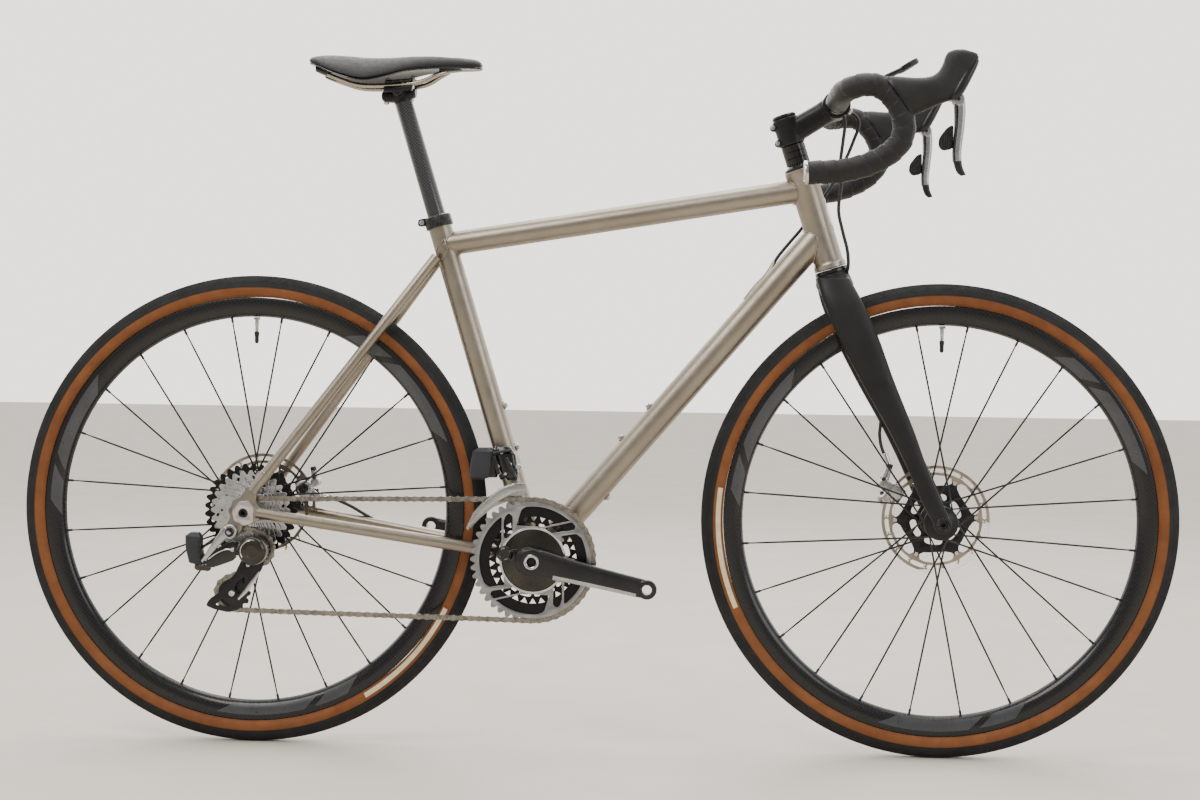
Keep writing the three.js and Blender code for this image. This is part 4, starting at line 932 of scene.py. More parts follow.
add_tubes()
add_stays()
add_dropouts()
add_welds()
add_fittings()
add_collar_and_headset()


# ---- wheels ----
def ring_patch(centre, start, sweep, profile, slant=0.0, steps=28):
    """A thin band laid along part of a wheel; profile is (radius, y) pairs across it."""
    rows = []
    for i in range(steps + 1):
        row = []
        for radius, y in profile:
            lean = slant * (radius - profile[0][0]) / 20
            angle = start + lean + sweep * i / steps
            row.append((centre.x + radius * math.cos(angle), y, centre.z + radius * math.sin(angle)))
        rows.append(row)
    return sheet(rows)


def arc_slot(inner, outer, start, sweep, steps=7):
    """A curved slot with round ends, round the origin."""
    middle_radius, half = (inner + outer) / 2, (outer - inner) / 2
    outline = circle(0, 0, outer, steps, start, sweep)
    for tip, way in ((start + sweep, 1), (start, -1)):
        cx, cz = middle_radius * math.cos(tip), middle_radius * math.sin(tip)
        turn = tip if way > 0 else tip + math.pi
        outline += circle(cx, cz, half, 7, turn, math.pi)[1:-1]
        if way > 0:
            outline += circle(0, 0, inner, steps, start, sweep)[::-1]
    return outline


rim_side = [(315.7, 12.1), (314.9, 12.5), (308, 12.55), (301, 12.2), (296, 11.0), (291.5, 8.4),
            (288.4, 4.8), (287.0, 0.0)]


def add_tyre(prefix, centre, body, label_start):
    """One tyre: finely grooved tread, tan casing and a cream label on each side."""
    contour = curve_through([(316.1, -12.6, 0), (320, -16.6, 0), (326, -18.5, 0), (331, -18.3, 0),
                             (339, -15.4, 0), (345, -9.6, 0), (347.7, -3.4, 0), (347.7, 3.4, 0),
                             (345, 9.6, 0), (339, 15.4, 0), (331, 18.3, 0), (326, 18.5, 0), (320, 16.6, 0),
                             (316.1, 12.6, 0)], 14)[:, :2]
    centre_line = np.array([334.0, 0.0])
    tread = []
    shoulder = contour[(contour[:, 0] > sidewall_top - 0.2)]
    for i, point in enumerate(shoulder):
        out = unit(point - centre_line)
        edge = min(i, len(shoulder) - 1 - i)
        ridge = 0.0 if edge < 3 else 0.22 * (1 if i % 4 < 2 else -1)
        tread.append(tuple(point + out * (0.12 + ridge) if 8 < edge < 48 else point + out * 0.3))
    inner = [tuple(point - unit(point - centre_line) * 1.2) for point in shoulder[::-1]]
    ring = turned([(r, y) for r, y in tread + inner], centre, sides=200)
    piece(f"{prefix}_tread", ring, "tread", body, (f"{prefix}_tyre",), sharp=25)
    skin_in = [tuple(point - unit(point - centre_line) * 2.2) for point in contour[::-2]]
    casing = [tuple(point - unit(point - centre_line) * 0.35) for point in contour[::2]]
    piece(f"{prefix}_casing", turned(casing + skin_in, centre, sides=200), "sidewall", body, ())
    bead = [(r, y + 0.05) for r, y in ((319.6, 16.0), (321.5, 17.25), (324, 18.05), (326.6, 18.32))]
    patch = ring_patch(centre, math.radians(label_start), math.radians(32), [(r, -y) for r, y in bead])
    back = ring_patch(centre, math.radians(180 - label_start), math.radians(-32), bead)
    piece(f"{prefix}_label", merged(patch, back), "label", body, ())


def add_rim(prefix, centre, body, patch_middle):
    """One deep carbon rim with grey patches and its valve."""
    outside = rim_side + [(r, -y) for r, y in rim_side[-2::-1]]
    inside = [(315.7, -10.6), (312, -10.2), (309, -8.0), (306, 0.0), (309, 8.0), (312, 10.2), (315.7, 10.6)]
    piece(f"{prefix}_rim_shell", turned(outside + inside, centre, sides=200), "rim_carbon", body,
          (f"{prefix}_rim",))
    face = [(r + (0.12 if r < 300 else 0), y + 0.1) for r, y in rim_side[2:6]]
    patches = []
    for i in range(3):
        start = math.radians(patch_middle + 120 * i - 19)
        for side in (1, -1):
            rows = [(r, side * y) for r, y in face]
            patches.append(ring_patch(centre, start, math.radians(25), rows, side * 0.1))
            patches.append(ring_patch(centre, start + math.radians(28), math.radians(10), rows, side * 0.1))
    piece(f"{prefix}_rim_patches", merged(*patches), "rim_patch", body, ())
    top = Vector((centre.x, 0, centre.z + rim_inner))
    stem = [(0, -2), (2.9, -2), (2.9, -12), (2.5, -13), (2.5, -24), (0, -24)]
    cap = [(0, -22), (3.5, -22), (3.7, -25), (3.0, -30), (3.0, -37), (2.0, -39.5), (0, -39.5)]
    nut = rod(top - Vector((0, 0, 4.4)), top - Vector((0, 0, 0.6)), 5.2, 0.6, 6)
    piece(f"{prefix}_valve", merged(turned(stem, top, (0, 0, 1), 24), nut), "silver_alloy", body, ())
    piece(f"{prefix}_valve_cap", turned(cap, top, (0, 0, 1), 24), "black_plastic", body, ())


def add_spokes(prefix, centre, body, flanges):
    """Twelve bladed spokes to each flange, crossed, with their nipples."""
    spokes, nipples = [], []
    for side, flange_y in enumerate(flanges):
        for i in range(12):
            rim_angle = math.radians(7.5 + 30 * i + 15 * side)
            trail = 1 if i % 2 == 0 else -1
            hub_angle = rim_angle + trail * math.radians(60)
            hub = np.array([math.cos(hub_angle), 0, math.sin(hub_angle)]) * (flange_radius - 3)
            start = np.array(centre) + hub + (0, flange_y + 1.4 * trail, 0)
            rim = np.array([math.cos(rim_angle), 0, math.sin(rim_angle)])
            end = np.array(centre) + rim * 289 + (0, 1.5 if flange_y > 0 else -1.5, 0)
            way = unit(end - start)
            thin = unit(np.cross(way, (0, 1, 0)))
            wide = np.cross(way, thin)
            length = np.linalg.norm(end - start)
            sections = [
                (start + way * s * length, thin * a, wide * b)
                for s, a, b in ((0, 1.1, 1.1), (0.06, 1.1, 1.1), (0.12, 1.35, 0.6), (0.88, 1.35, 0.6),
                                (0.93, 1.1, 1.1), (1, 1.1, 1.1))
            ]
            spokes.append(loft(sections, 8))
            head = start - way * 1.0
            spokes.append(rod(head - np.array((0, 1.2 * trail, 0)), head + np.array((0, 1.0 * trail, 0)),
                              1.7, 0.4, 10))
            nipples.append(rod(end - way * 9, end, 1.9, 0.4, 10))
    piece(f"{prefix}_spokes", merged(*spokes), "spoke", body, ())
    piece(f"{prefix}_nipples", merged(*nipples), "black_alloy", body, ())


def add_rotor(prefix, centre, body, rotor_y):
    """One brake rotor: slotted track, six-armed carrier and the rivets that join them."""
    step = TURN / 18
    windows = [arc_slot(69.4, 75.4, i * step + 0.05, step * 0.60)[::-1] for i in range(18)]
    dots = [circle(r * math.cos(a), r * math.sin(a), 1.15, 10)[::-1]
            for i in range(18) for r, a in ((70.6, i * step - 0.035), (74.4, i * step - 0.035))]
    inner_edge = []
    for i in range(6):
        a = TURN * i / 6
        for offset, r in ((-0.20, 65.6), (-0.09, 64.6), (-0.02, 57.5), (0.10, 57.0), (0.17, 64.2),
                          (0.28, 65.6), (0.56, 65.6)):
            inner_edge.append((r * math.cos(a + offset), r * math.sin(a + offset)))
    track = plate(circle(0, 0, rotor_radius, 120), rotor_y - 0.9, rotor_y + 0.9,
                  (inner_edge[::-1], *windows, *dots), 0.12)
    outline = []
    for i in range(6):
        a = TURN * i / 6
        for offset, r in ((-0.42, 49.5), (-0.22, 51.0), (-0.08, 55.0), (-0.01, 61.0), (0.04, 62.3),
                          (0.10, 61.5), (0.13, 57.0), (0.20, 53.0), (0.36, 51.0)):
            outline.append((r * math.cos(a + offset), r * math.sin(a + offset)))
    slots = [arc_slot(29, 38.5, TURN * i / 6 + 0.18, 0.52)[::-1] for i in range(6)]
    carrier = plate(outline, rotor_y - 1.3, rotor_y + 1.3, (circle(0, 0, 17.6, 40)[::-1], *slots), 0.4, 2)
    rivets = [turned([(0, -1.42), (2.6, -1.42), (3.1, -1.1), (3.1, 1.1), (2.6, 1.42), (0, 1.42)],
                     (59.6 * math.cos(TURN * i / 6 + 0.045), rotor_y,
                      59.6 * math.sin(TURN * i / 6 + 0.045)), sides=16) for i in range(6)]
    home = Matrix.Translation(centre)
    piece(f"{prefix}_rotor_track", placed(track, home), f"{prefix}_rotor", body, (f"{prefix}_rotor",))
    piece(f"{prefix}_rotor_carrier", placed(carrier, home), "black_alloy", body, ())
    piece(f"{prefix}_rotor_rivets", placed(merged(*rivets), home), "polished", body, ())


def add_hub(prefix, centre, body, profile, lock_y):
    """A hub's shell and the notched ring that locks its rotor."""
    piece(f"{prefix}_hub_shell", turned(profile, centre, sides=80), "black_alloy", body, (f"{prefix}_hub",))
    lock = plate(circle(0, 0, 20.5, 48), lock_y, lock_y + 3.2, (circle(0, 0, 14, 32)[::-1],), 0.5, 2)
    notches = [rod((19.6 * math.cos(a), lock_y + 0.4, 19.6 * math.sin(a)),
                   (19.6 * math.cos(a), lock_y + 3.6, 19.6 * math.sin(a)), 1.3, 0.3, 10)
               for a in (TURN * i / 16 for i in range(16))]
    piece(f"{prefix}_lockring", placed(merged(lock, *notches), Matrix.Translation(centre)), "gloss_black",
          body, ())


front_hub = [(6.6, -49.7), (9.6, -49.7), (10.4, -48.9), (11, -41), (14, -38.5), (24.6, -36.4), (25, -35.6),
             (25, -30.4), (24.4, -29.8), (15, -27.5), (12.2, -22), (11.6, -5), (12.2, 12), (15, 17.6),
             (24.4, 19.8), (25, 20.4), (25, 25.6), (24.4, 26.2), (17.1, 28.5), (17.1, 42.5), (12, 44),
             (10.4, 48.9), (9.6, 49.7), (6.6, 49.7)]
rear_hub = [(6.6, -70.4), (10.8, -70.4), (12.2, -69.4), (12.2, -25.6), (24.4, -23.4), (25, -22.8),
            (25, -17.4), (24.4, -16.8), (17, -13.5), (14.4, -8), (13.8, 8), (14.6, 22), (18, 27.4),
            (24.4, 29.8), (25, 30.4), (25, 35.6), (24.4, 36.2), (17.1, 38.5), (17.1, 58), (13, 59.5),
            (10.8, 69.6), (9.8, 70.4), (6.6, 70.4)]
for prefix, centre, profile, flanges, rotor_y, label_start, patch_middle in (
    ("rear", rear_axle, rear_hub, (-20, 33), 55, -58, 39),
    ("front", front_axle, front_hub, (-33, 23), 40, 172, 33),
):
    wheel = f"{prefix}_wheel"
    add_tyre(prefix, centre, wheel, label_start)
    add_rim(prefix, centre, wheel, patch_middle)
    add_spokes(prefix, centre, wheel, flanges)
    add_hub(prefix, centre, wheel, profile, rotor_y + 1.8)
    add_rotor(prefix, centre, wheel, rotor_y)


# ---- brakes and axles ----
def add_caliper(name, node, body, cap, bridge, arm, tail, rotor_y):
    """Two piston halves either side of the disc, joined past its rim, with a hose arm and a tail."""
    halves = []
    for y_near, y_far in ((rotor_y - 12.6, rotor_y - 4.4), (rotor_y + 4.4, rotor_y + 12.6)):
        halves.append(cross_rod(*cap, y_near, y_far, 13, 1.2))
        halves.append(cross_rod(*tail, y_near + 2, y_far - 1, 7.5, 1.2))
        way = unit(np.array([tail[0] - cap[0], 0, tail[1] - cap[1]]))
        mid_y = (y_near + y_far) / 2
        halves.append(loft([((cap[0], mid_y, cap[1]), (0, 3.6, 0), tuple(np.cross(way, (0, 9, 0)))),
                            ((tail[0], mid_y, tail[1]), (0, 3.2, 0), tuple(np.cross(way, (0, 6.5, 0))))],
                           16, 0.6))
        halves.append(cross_rod(*bridge, y_near + 1, y_far, 7, 1.0))
        halves.append(loft([((cap[0], mid_y, cap[1]), (0, 3.6, 0), (5, 0, 8)),
                            ((bridge[0], mid_y, bridge[1]), (0, 3.6, 0), (4, 0, 6))], 16, 0.6))
    halves.append(cross_rod(*bridge, rotor_y - 11, rotor_y + 11, 5.4, 1.0))
    halves.append(rod((bridge[0], rotor_y, bridge[1]), (arm[0], rotor_y, arm[1]), 6.6, 1.0, end_radius=4.6))
    piece(f"{name}_body", fused(halves, 0.9, 4), "silver_alloy", body, (node,))
    cap_profile = [(0, 0), (7.4, 0), (7.8, 0.5), (8.3, 0.5), (8.8, 0), (10.6, 0), (10.6, 1.6), (9.8, 2.4),
                   (8.6, 2.5), (8.0, 1.9), (0, 1.9)]
    caps = [turned(cap_profile, (cap[0], rotor_y + side * 12.4, cap[1]), (0, side, 0), 48)
            for side in (-1, 1)]
    piece(f"{name}_piston_caps", merged(*caps), "polished", body, ())
    way = Vector((arm[0] - bridge[0], 0, arm[1] - bridge[1])).normalized()
    collar = rod(Vector((arm[0], rotor_y, arm[1])) - way * 5, Vector((arm[0], rotor_y, arm[1])) + way * 5,
                 5.0, 0.8, 6)
    bolts = [socket_bolt((bridge[0] - 1, rotor_y + s * 9, bridge[1] + 6), (0, s * 0.3, 1), 3.4, 3.0)
             for s in (1, -1)]
    bleed = rod((tail[0], rotor_y, tail[1]), (tail[0] - 2, rotor_y, tail[1] + 12), 3.0, 0.6, 6)
    piece(f"{name}_bolts", merged(collar, bleed, *bolts), "black_alloy", body, ())


add_caliper("rear_brake", "rear_caliper", "frame", (-444, 376), (-427, 386), (-431, 404), (-424, 363), 55)
add_caliper("front_brake", "front_caliper", "steering", (446.5, 388), (430, 400), (437.5, 424), (429, 376),
            40)
rear_clip = Vector((-407, 55, 364))
front_end = Vector((437, 40, 432))
for name, body, start, end in (
    ("rear", "frame", rear_clip - Vector((13, 0, 5)), rear_clip + Vector((-1, 0, -0.4))),
    ("front", "steering", front_end + Vector((1, 0, -6)), front_end + Vector((-6, 3.4, 12))),
):
    piece(f"{name}_hose_ferrule", rod(start, end, 3.9, 0.6, 20), "polished", body, ())
for node in ("rear_pad_right", "rear_pad_left", "front_pad_right", "front_pad_left"):
    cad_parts[node].data.materials.clear()
    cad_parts[node].data.materials.append(looks["pad"])


def add_axle(name, node, body, centre, low, high):
    """A through axle with its flat head."""
    core = turned([(3.4, low + 8), (3.4, low), (5.6, low), (6, low + 0.4), (6, high - 0.4), (5.6, high),
                   (0, high), (0, low + 8)], centre, sides=40)
    head = turned([(0, high - 0.6), (9.4, high - 0.6), (10, high), (10, high + 2), (8.6, high + 3.4),
                   (4.2, high + 3.4), (4.2, high + 1), (0, high + 1)], centre, sides=40)
    piece(name, merged(core, head), "black_alloy", body, (node,))


add_axle("rear_axle_bolt", "rear_axle", "frame", rear_axle, -78.4, 79.6)
add_axle("front_axle_bolt", "front_axle", "steering", front_axle, -62.4, 63)


# ---- steering: fork, stem, bar and its tape ----
blade_stations = [
    (346, 18, 703, 24, 12), (360, 33, 668, 28.5, 12), (381, 43, 620, 29.5, 10.5), (410, 50, 555, 24.5, 9.5),
    (446, 55, 482, 18.5, 8.6), (468, 57, 432, 15, 8), (489, 57.2, 385, 15, 7), (506, 56.6, 350, 13, 6.2),
    (508.5, 56.6, 339, 9, 6.0),
]


def add_fork():
    """The fork: crown, two blades and the ends that hold the axle."""
    blade = upright_loft(curve_through(blade_stations, 6), 40, 0.78)
    fork_end = cross_rod(front_axle.x, front_axle.z, 50.6, 62.8, 13, 1.2)
    crown = rod(along_head(-34), along_head(-1), 26, 2, 48, 22.8)
    shoulder = loft([((350, -24, 690), (22, 0, 4), (0, 0, 13)), ((347, 0, 697), (25, 0, 4), (0, 0, 15)),
                     ((350, 24, 690), (22, 0, 4), (0, 0, 13))], 32, 0.9)
    bore = cross_rod(front_axle.x, front_axle.z, 45, 70, 6.6)
    shape = fused([both_sides(blade), both_sides(fork_end), crown, shoulder], 1.5, 7)
    piece("fork_shell", cut(shape, both_sides(bore)), "matte_carbon", "steering", ("fork",))
    inserts = both_sides(turned([(6.4, 62.5), (9.6, 62.5), (10.2, 63.1), (10.2, 63.5), (9.4, 64),
                                 (6.4, 64)], front_axle, sides=40))
    piece("fork_end_inserts", inserts, "black_alloy", "steering", ())


stem_foot = along_head(207)
stem_way = (bar_centre - stem_foot).normalized()
stem_up = Vector((-stem_way.z, 0, stem_way.x))
stem_back = Vector((-head_axis.z, 0, head_axis.x))


def add_stem():
    """The stem with its faceplate, bolts and top cap, and the spacers below it."""
    def section(share, height, width):
        """A section of the stem's body, a share of the way from steerer to bar."""
        return stem_foot.lerp(bar_centre, share), Vector((0, width, 0)), stem_up * height

    body = loft([section(0, 18, 15.5), section(0.3, 17.4, 15.5), section(0.7, 17, 16.5),
                 section(0.95, 18.4, 20.5)], 36, 0.72)
    clamp = rod(along_head(190), along_head(231), 18.6, 1.2, 48)
    barrel = cross_rod(bar_centre.x, bar_centre.z, -21.3, 21.3, 20.2, 1.2, 48)
    lugs = []
    for s in (198, 222):
        at = along_head(s) + stem_back * 19.5
        lugs.append(rod(at - Vector((0, 9, 0)), at + Vector((0, 9, 0)), 5.2, 0.8, 24))
    shape = fused([body, clamp, barrel, *lugs], 1.2, 4)
    piece("stem_body", shape, "black_alloy", "steering", ("stem",))
    lug_bolts = [socket_bolt(along_head(s) + stem_back * 20 + Vector((0, -9.4, 0)), (0, -1, 0), 3.4, 2.2)
                 for s in (198, 222)]
    angle = math.atan2(stem_way.z, stem_way.x)
    reach = math.radians(78)
    outline = circle(bar_centre.x, bar_centre.z, 21.2, 28, angle - reach, 2 * reach)
    outline += circle(bar_centre.x, bar_centre.z, 16.3, 28, angle - reach, 2 * reach)[::-1]
    cheeks = [plate(outline, low_y, low_y + 13.5, (), 0.7, 2) for low_y in (-21.4, 7.9)]
    slim = circle(bar_centre.x, bar_centre.z, 19.4, 28, angle - reach, 2 * reach)
    slim += circle(bar_centre.x, bar_centre.z, 16.3, 28, angle - reach, 2 * reach)[::-1]
    cheeks.append(plate(slim, -8.4, 8.4, (), 0.5))
    piece("stem_face", merged(*cheeks), "black_alloy", "steering", ("stem_faceplate",))
    face_bolts = [
        socket_bolt(bar_centre + stem_way * 13.5 + stem_up * (17.0 * up) + Vector((0, y, 0)), stem_way, 3.4,
                    3.0)
        for up in (1, -1) for y in (-14.5, 14.5)
    ]
    piece("stem_bolts", merged(*lug_bolts, *face_bolts), "polished", "steering", ())
    cap = turned([(0, 231.2), (17.2, 231.2), (18.0, 232), (18.0, 234), (16.8, 235.8), (6.2, 236),
                  (5.6, 234.6), (0, 234.6)], headset_foot, head_axis, 64)
    piece("stem_top_cap", merged(cap, socket_bolt(along_head(234.4), head_axis, 4.4, 2.4)), "gloss_black",
          "steering", ())
    levels = [160.3, 170.0, 179.7, 189.4]
    rings = [turned([(15, a + 0.15), (17.0, a + 0.15), (17.5, a + 0.6), (17.5, b - 0.6), (17.0, b - 0.15),
                     (15, b - 0.15)], headset_foot, head_axis, 72) for a, b in zip(levels, levels[1:])]
    piece("headset_spacer_rings", merged(*rings), "gloss_black", "steering", ("headset_spacers",))


bar_half = [
    (346.5, 0, 954), (346.5, 60, 954), (346.5, 120, 954), (347, 160, 954), (351, 181, 955), (362, 198, 958),
    (378, 204, 960), (394, 205, 957), (410, 205.5, 945), (423, 206, 925), (428, 206.5, 903),
    (423, 207, 882), (405, 208, 864), (378, 209, 850.5), (344, 210, 842), (296, 211, 839.3),
]
tape_pitch = 19.0
tape_start = 42.0


def even_points(path, step):
    """The path's points again, at an even spacing."""
    along = distances(path)
    stops = np.linspace(0, along[-1], max(2, round(along[-1] / step)) + 1)
    return points_at(path, along, stops)


def add_bar():
    """The wrapped bar, its bare middle, the end bands and the end plugs."""
    path = even_points(curve_through(bar_half, 12), 1.6)
    keep = path[path[:, 1] > tape_start]
    length = distances(keep)[-1]

    def wrap(share, angle):
        """The radius of tape whose turns overlap, a little uneven."""
        turn = (share * length / tape_pitch + angle / TURN) % 1.0
        swell = 0.2 * math.sin(5 * angle + 31 * share) * math.sin(47 * share)
        return 15.0 + 1.7 * min(1.0, turn / 0.07) * (1 - 0.8 * turn) + swell

    tape = tube(keep, wrap, 44)
    centre = cross_rod(bar_centre.x, bar_centre.z, -44, 44, 15.4, 0.4, 48)
    piece("bar_tape_left", tape, "tape", "steering", ("handlebar",))
    piece("bar_tape_right", mirrored(tape), "tape", "steering", ())
    piece("bar_centre", centre, "black_alloy", "steering", ())
    band = turned([(14, 40), (16.4, 40), (16.6, 40.4), (16.6, 53.6), (16.4, 54), (14, 54)],
                  (bar_centre.x, 0, bar_centre.z), sides=48)
    piece("tape_end_bands", both_sides(band), "gloss_black", "steering", ())
    end, before = Vector(path[-1]), Vector(path[-8])
    way = (end - before).normalized()
    plug = turned([(0, -3), (15.2, -3), (16.4, -2.4), (16.6, 0.2), (16.2, 1.8), (14.6, 2.8), (12.6, 3.0),
                   (11.8, 2.2), (0, 2.0)], end, way, 48)
    piece("bar_end_plugs", both_sides(plug), "polished", "steering", ())
    core = turned([(0, 1.6), (11.6, 1.8), (11.0, 2.6), (0, 3.0)], end, way, 40)
    piece("bar_end_cores", both_sides(core), "black_plastic", "steering", ())


# ---- hoods, levers and paddles ----
hood_pairs = [
    (403, 970.5, 441, 919, 16.8), (415, 970.8, 449, 921.5, 17.2), (430, 969.8, 461, 927, 17.0),
    (447, 969.2, 474, 933, 16.5), (463, 971.5, 487, 938, 16), (472.5, 978, 497, 942.5, 15.5),
    (478.5, 988.5, 507.5, 954, 15), (481.5, 998, 516.5, 971, 14.5), (485.5, 1004, 523.5, 985, 13.5),
    (493, 1007, 526.5, 995.5, 11.5), (503, 1008, 525, 1001.5, 8),
]
shield_pairs = [
    (517, 996, 527.2, 992.5, 8.5), (508, 984, 524.8, 984.5, 11.5), (500.5, 971, 518.2, 970, 14.2),
    (493.5, 957, 511.2, 956, 15.2), (488, 945, 503.5, 943.5, 14.2), (487.5, 938.5, 497, 938, 11.5),
]


def paired_loft(pairs, y, sides=40, squareness=0.8, steps=5):
    """A loft at one y through rows of (x, z, x, z, half width): two edge points and a width."""
    rows = curve_through(pairs, steps)
    return loft([(((a + c) / 2, y, (b + d) / 2), (0, w, 0), ((a - c) / 2, 0, (b - d) / 2))
                 for a, b, c, d, w in rows], sides, squareness)


def add_controls(label, side):
    """One side's hood with its front panel, brake lever and shift paddle."""
    y = side * lever_pivot.y
    piece(f"hood_cover_{label}", paired_loft(hood_pairs, y), "hood", "steering", (f"hood_{label}",))
    piece(f"lever_shield_{label}", paired_loft(shield_pairs, y, squareness=0.7), "crank_carbon", "steering",
          ())
    cuff_rows = [(400.5, 968.5, 439, 915.5, 17.0), (403.5, 971.2, 442.5, 918, 17.4)]
    piece(f"hood_cuff_{label}", paired_loft(cuff_rows, y), "black_plastic", "steering", ())
    head = cross_rod(lever_pivot.x, lever_pivot.z, y - 8.6, y + 8.6, 8.6, 1)
    rows = curve_through([(502.5, y, 941, 6.5, 8), (504, y, 926, 6.4, 8), (503.2, y, 905, 6.3, 7.8),
                          (501.2, y, 885, 6.2, 7.4), (499.8, y, 868, 6.0, 7), (500.6, y, 856, 5.6, 6.4)], 6)
    blade = upright_loft(rows, 28, 0.72)
    piece(f"lever_blade_{label}", fused([head, blade], 0.8, 3), "lever", f"lever_{label}",
          (f"brake_lever_{label}",))
    rows = curve_through([(500.6, y, 857, 5.5, 6.3), (502.4, y, 848.5, 5.0, 5.8), (505.6, y, 841.5, 4.6, 5),
                          (509, y, 837.6, 3.4, 4)], 5)
    tip = upright_loft(rows, 24, 0.8, lean=0.25)
    rows = curve_through([(496.4, y, 934, 1.6, 8.6), (497.4, y, 905, 1.6, 8.4), (495.2, y, 870, 1.6, 7.6),
                          (496, y, 856, 1.6, 6.8)], 5)
    spine = upright_loft(rows, 20, 0.6)
    pin = cross_rod(lever_pivot.x, lever_pivot.z, y - 10.4, y + 10.4, 2.2, 0.4, 20)
    piece(f"lever_tip_{label}", merged(tip, spine, pin), "black_plastic", f"lever_{label}", ())
    outline = rounded([(494.2, 906), (486, 902.5), (475, 888), (474.4, 877), (480, 870.6), (494.2, 873.2)],
                      5)
    ribs = [rod((478.5 + 3.2 * i, y - 3.4, 874.5), (478.5 + 3.2 * i, y - 3.4, 889 + 2.6 * i), 0.5, 0.2, 8)
            for i in range(5)]
    ribs += [placed(rib, Matrix.Translation((0, 6.8, 0))) for rib in ribs]
    piece(f"paddle_{label}_blade", merged(plate(outline, y - 3, y + 3, (), 1.0, 3), *ribs), "black_plastic",
          f"paddle_{label}", (f"shift_paddle_{label}",))


def add_computer_mount():
    """The cradle for a bicycle computer, on two arms from the stem's face."""
    puck = Vector((451, 0, 1013.5))
    arms = []
    for side in (1, -1):
        rows = curve_through([(366, side * 13, 967.5, 4.2), (392, side * 9, 983.5, 4.0),
                              (420, side * 9, 997.5, 4.6), (442, side * 8, 1008, 7)], 5)
        arms.append(loft([((x, y, z), (0, w, 0), (1.5, 0, -2.7)) for x, y, z, w in rows], 20, 0.7))
        foot = Vector((366, side * 13, 967.5))
        arms.append(rod(foot - Vector((0, 3.6, 0)), foot + Vector((0, 3.6, 0)), 4.6, 0.6, 24))
    disc = turned([(0, -4), (15.4, -4), (16.8, -3), (17, 0), (17, 2.6), (16.2, 3.6), (13.4, 4), (12.8, 2.6),
                   (0, 2.6)], puck, stem_up, 56)
    tabs = [rod(puck + stem_up * 2.6 + stem_way * (s * 10), puck + stem_up * 4 + stem_way * (s * 10), 3.4,
                0.5, 20) for s in (1, -1)]
    piece("computer_cradle", merged(*arms, disc, *tabs), "black_plastic", "steering", ("computer_mount",))


add_fork()
add_stem()
add_bar()
for label, side in (("right", -1), ("left", 1)):
    add_controls(label, side)
add_computer_mount()

# ---- seat: post, clamp, rails and saddle ----
rail_half = [(-409, 36, 996), (-388, 32, 988), (-360, 24, 979), (-338, 22, 977), (-272, 22, 981),
             (-254, 20, 986), (-236, 14, 996), (-225, 6, 1000)]
saddle_sections = [
    (-424.5, 1011.5, 30, 2.2, 1.0), (-422.5, 1011.8, 45, 5.4, 2), (-414, 1012, 58, 8.2, 5),
    (-398, 1012, 67, 10, 13), (-370, 1011.5, 72.5, 9.6, 23), (-340, 1010.5, 70.5, 8.6, 27.5),
    (-310, 1011, 58, 8.6, 21), (-280, 1012.5, 41, 9.4, 12), (-250, 1013.6, 28.5, 9.6, 8),
    (-220, 1013, 22.5, 9.0, 5), (-195, 1011.5, 19.5, 8.4, 3.4), (-181, 1010.4, 15.5, 7.2, 2),
    (-175.2, 1009.6, 9.5, 4.6, 1), (-173.4, 1009.2, 4, 2.0, 0.4),
]


def saddle_shell(width=1.0, lower=0.0, thick=1.0, sides=72):
    """The saddle's closed crowned form, its wings drooping with the cube of their reach."""
    rows = curve_through([(x, 0, z, w, h, d) for x, z, w, h, d in saddle_sections], 6)
    angles = np.arange(sides) * TURN / sides
    across = bulge(np.cos(angles), 0.8)
    rings = []
    for x, _, z, w, h, d in rows:
        up = np.where(np.sin(angles) > 0, 1.0, 0.62) * bulge(np.sin(angles), 0.85)
        heights = z - lower + h * thick * up - d * np.abs(across) ** 3
        channel = 1.6 * np.exp(-((across * w / 7.5) ** 2)) * (up > 0.3) * (1 if -405 < x < -215 else 0.0)
        rings.append(np.stack([np.full(sides, x), across * w * width, heights - channel], axis=1))
    return skin(rings)


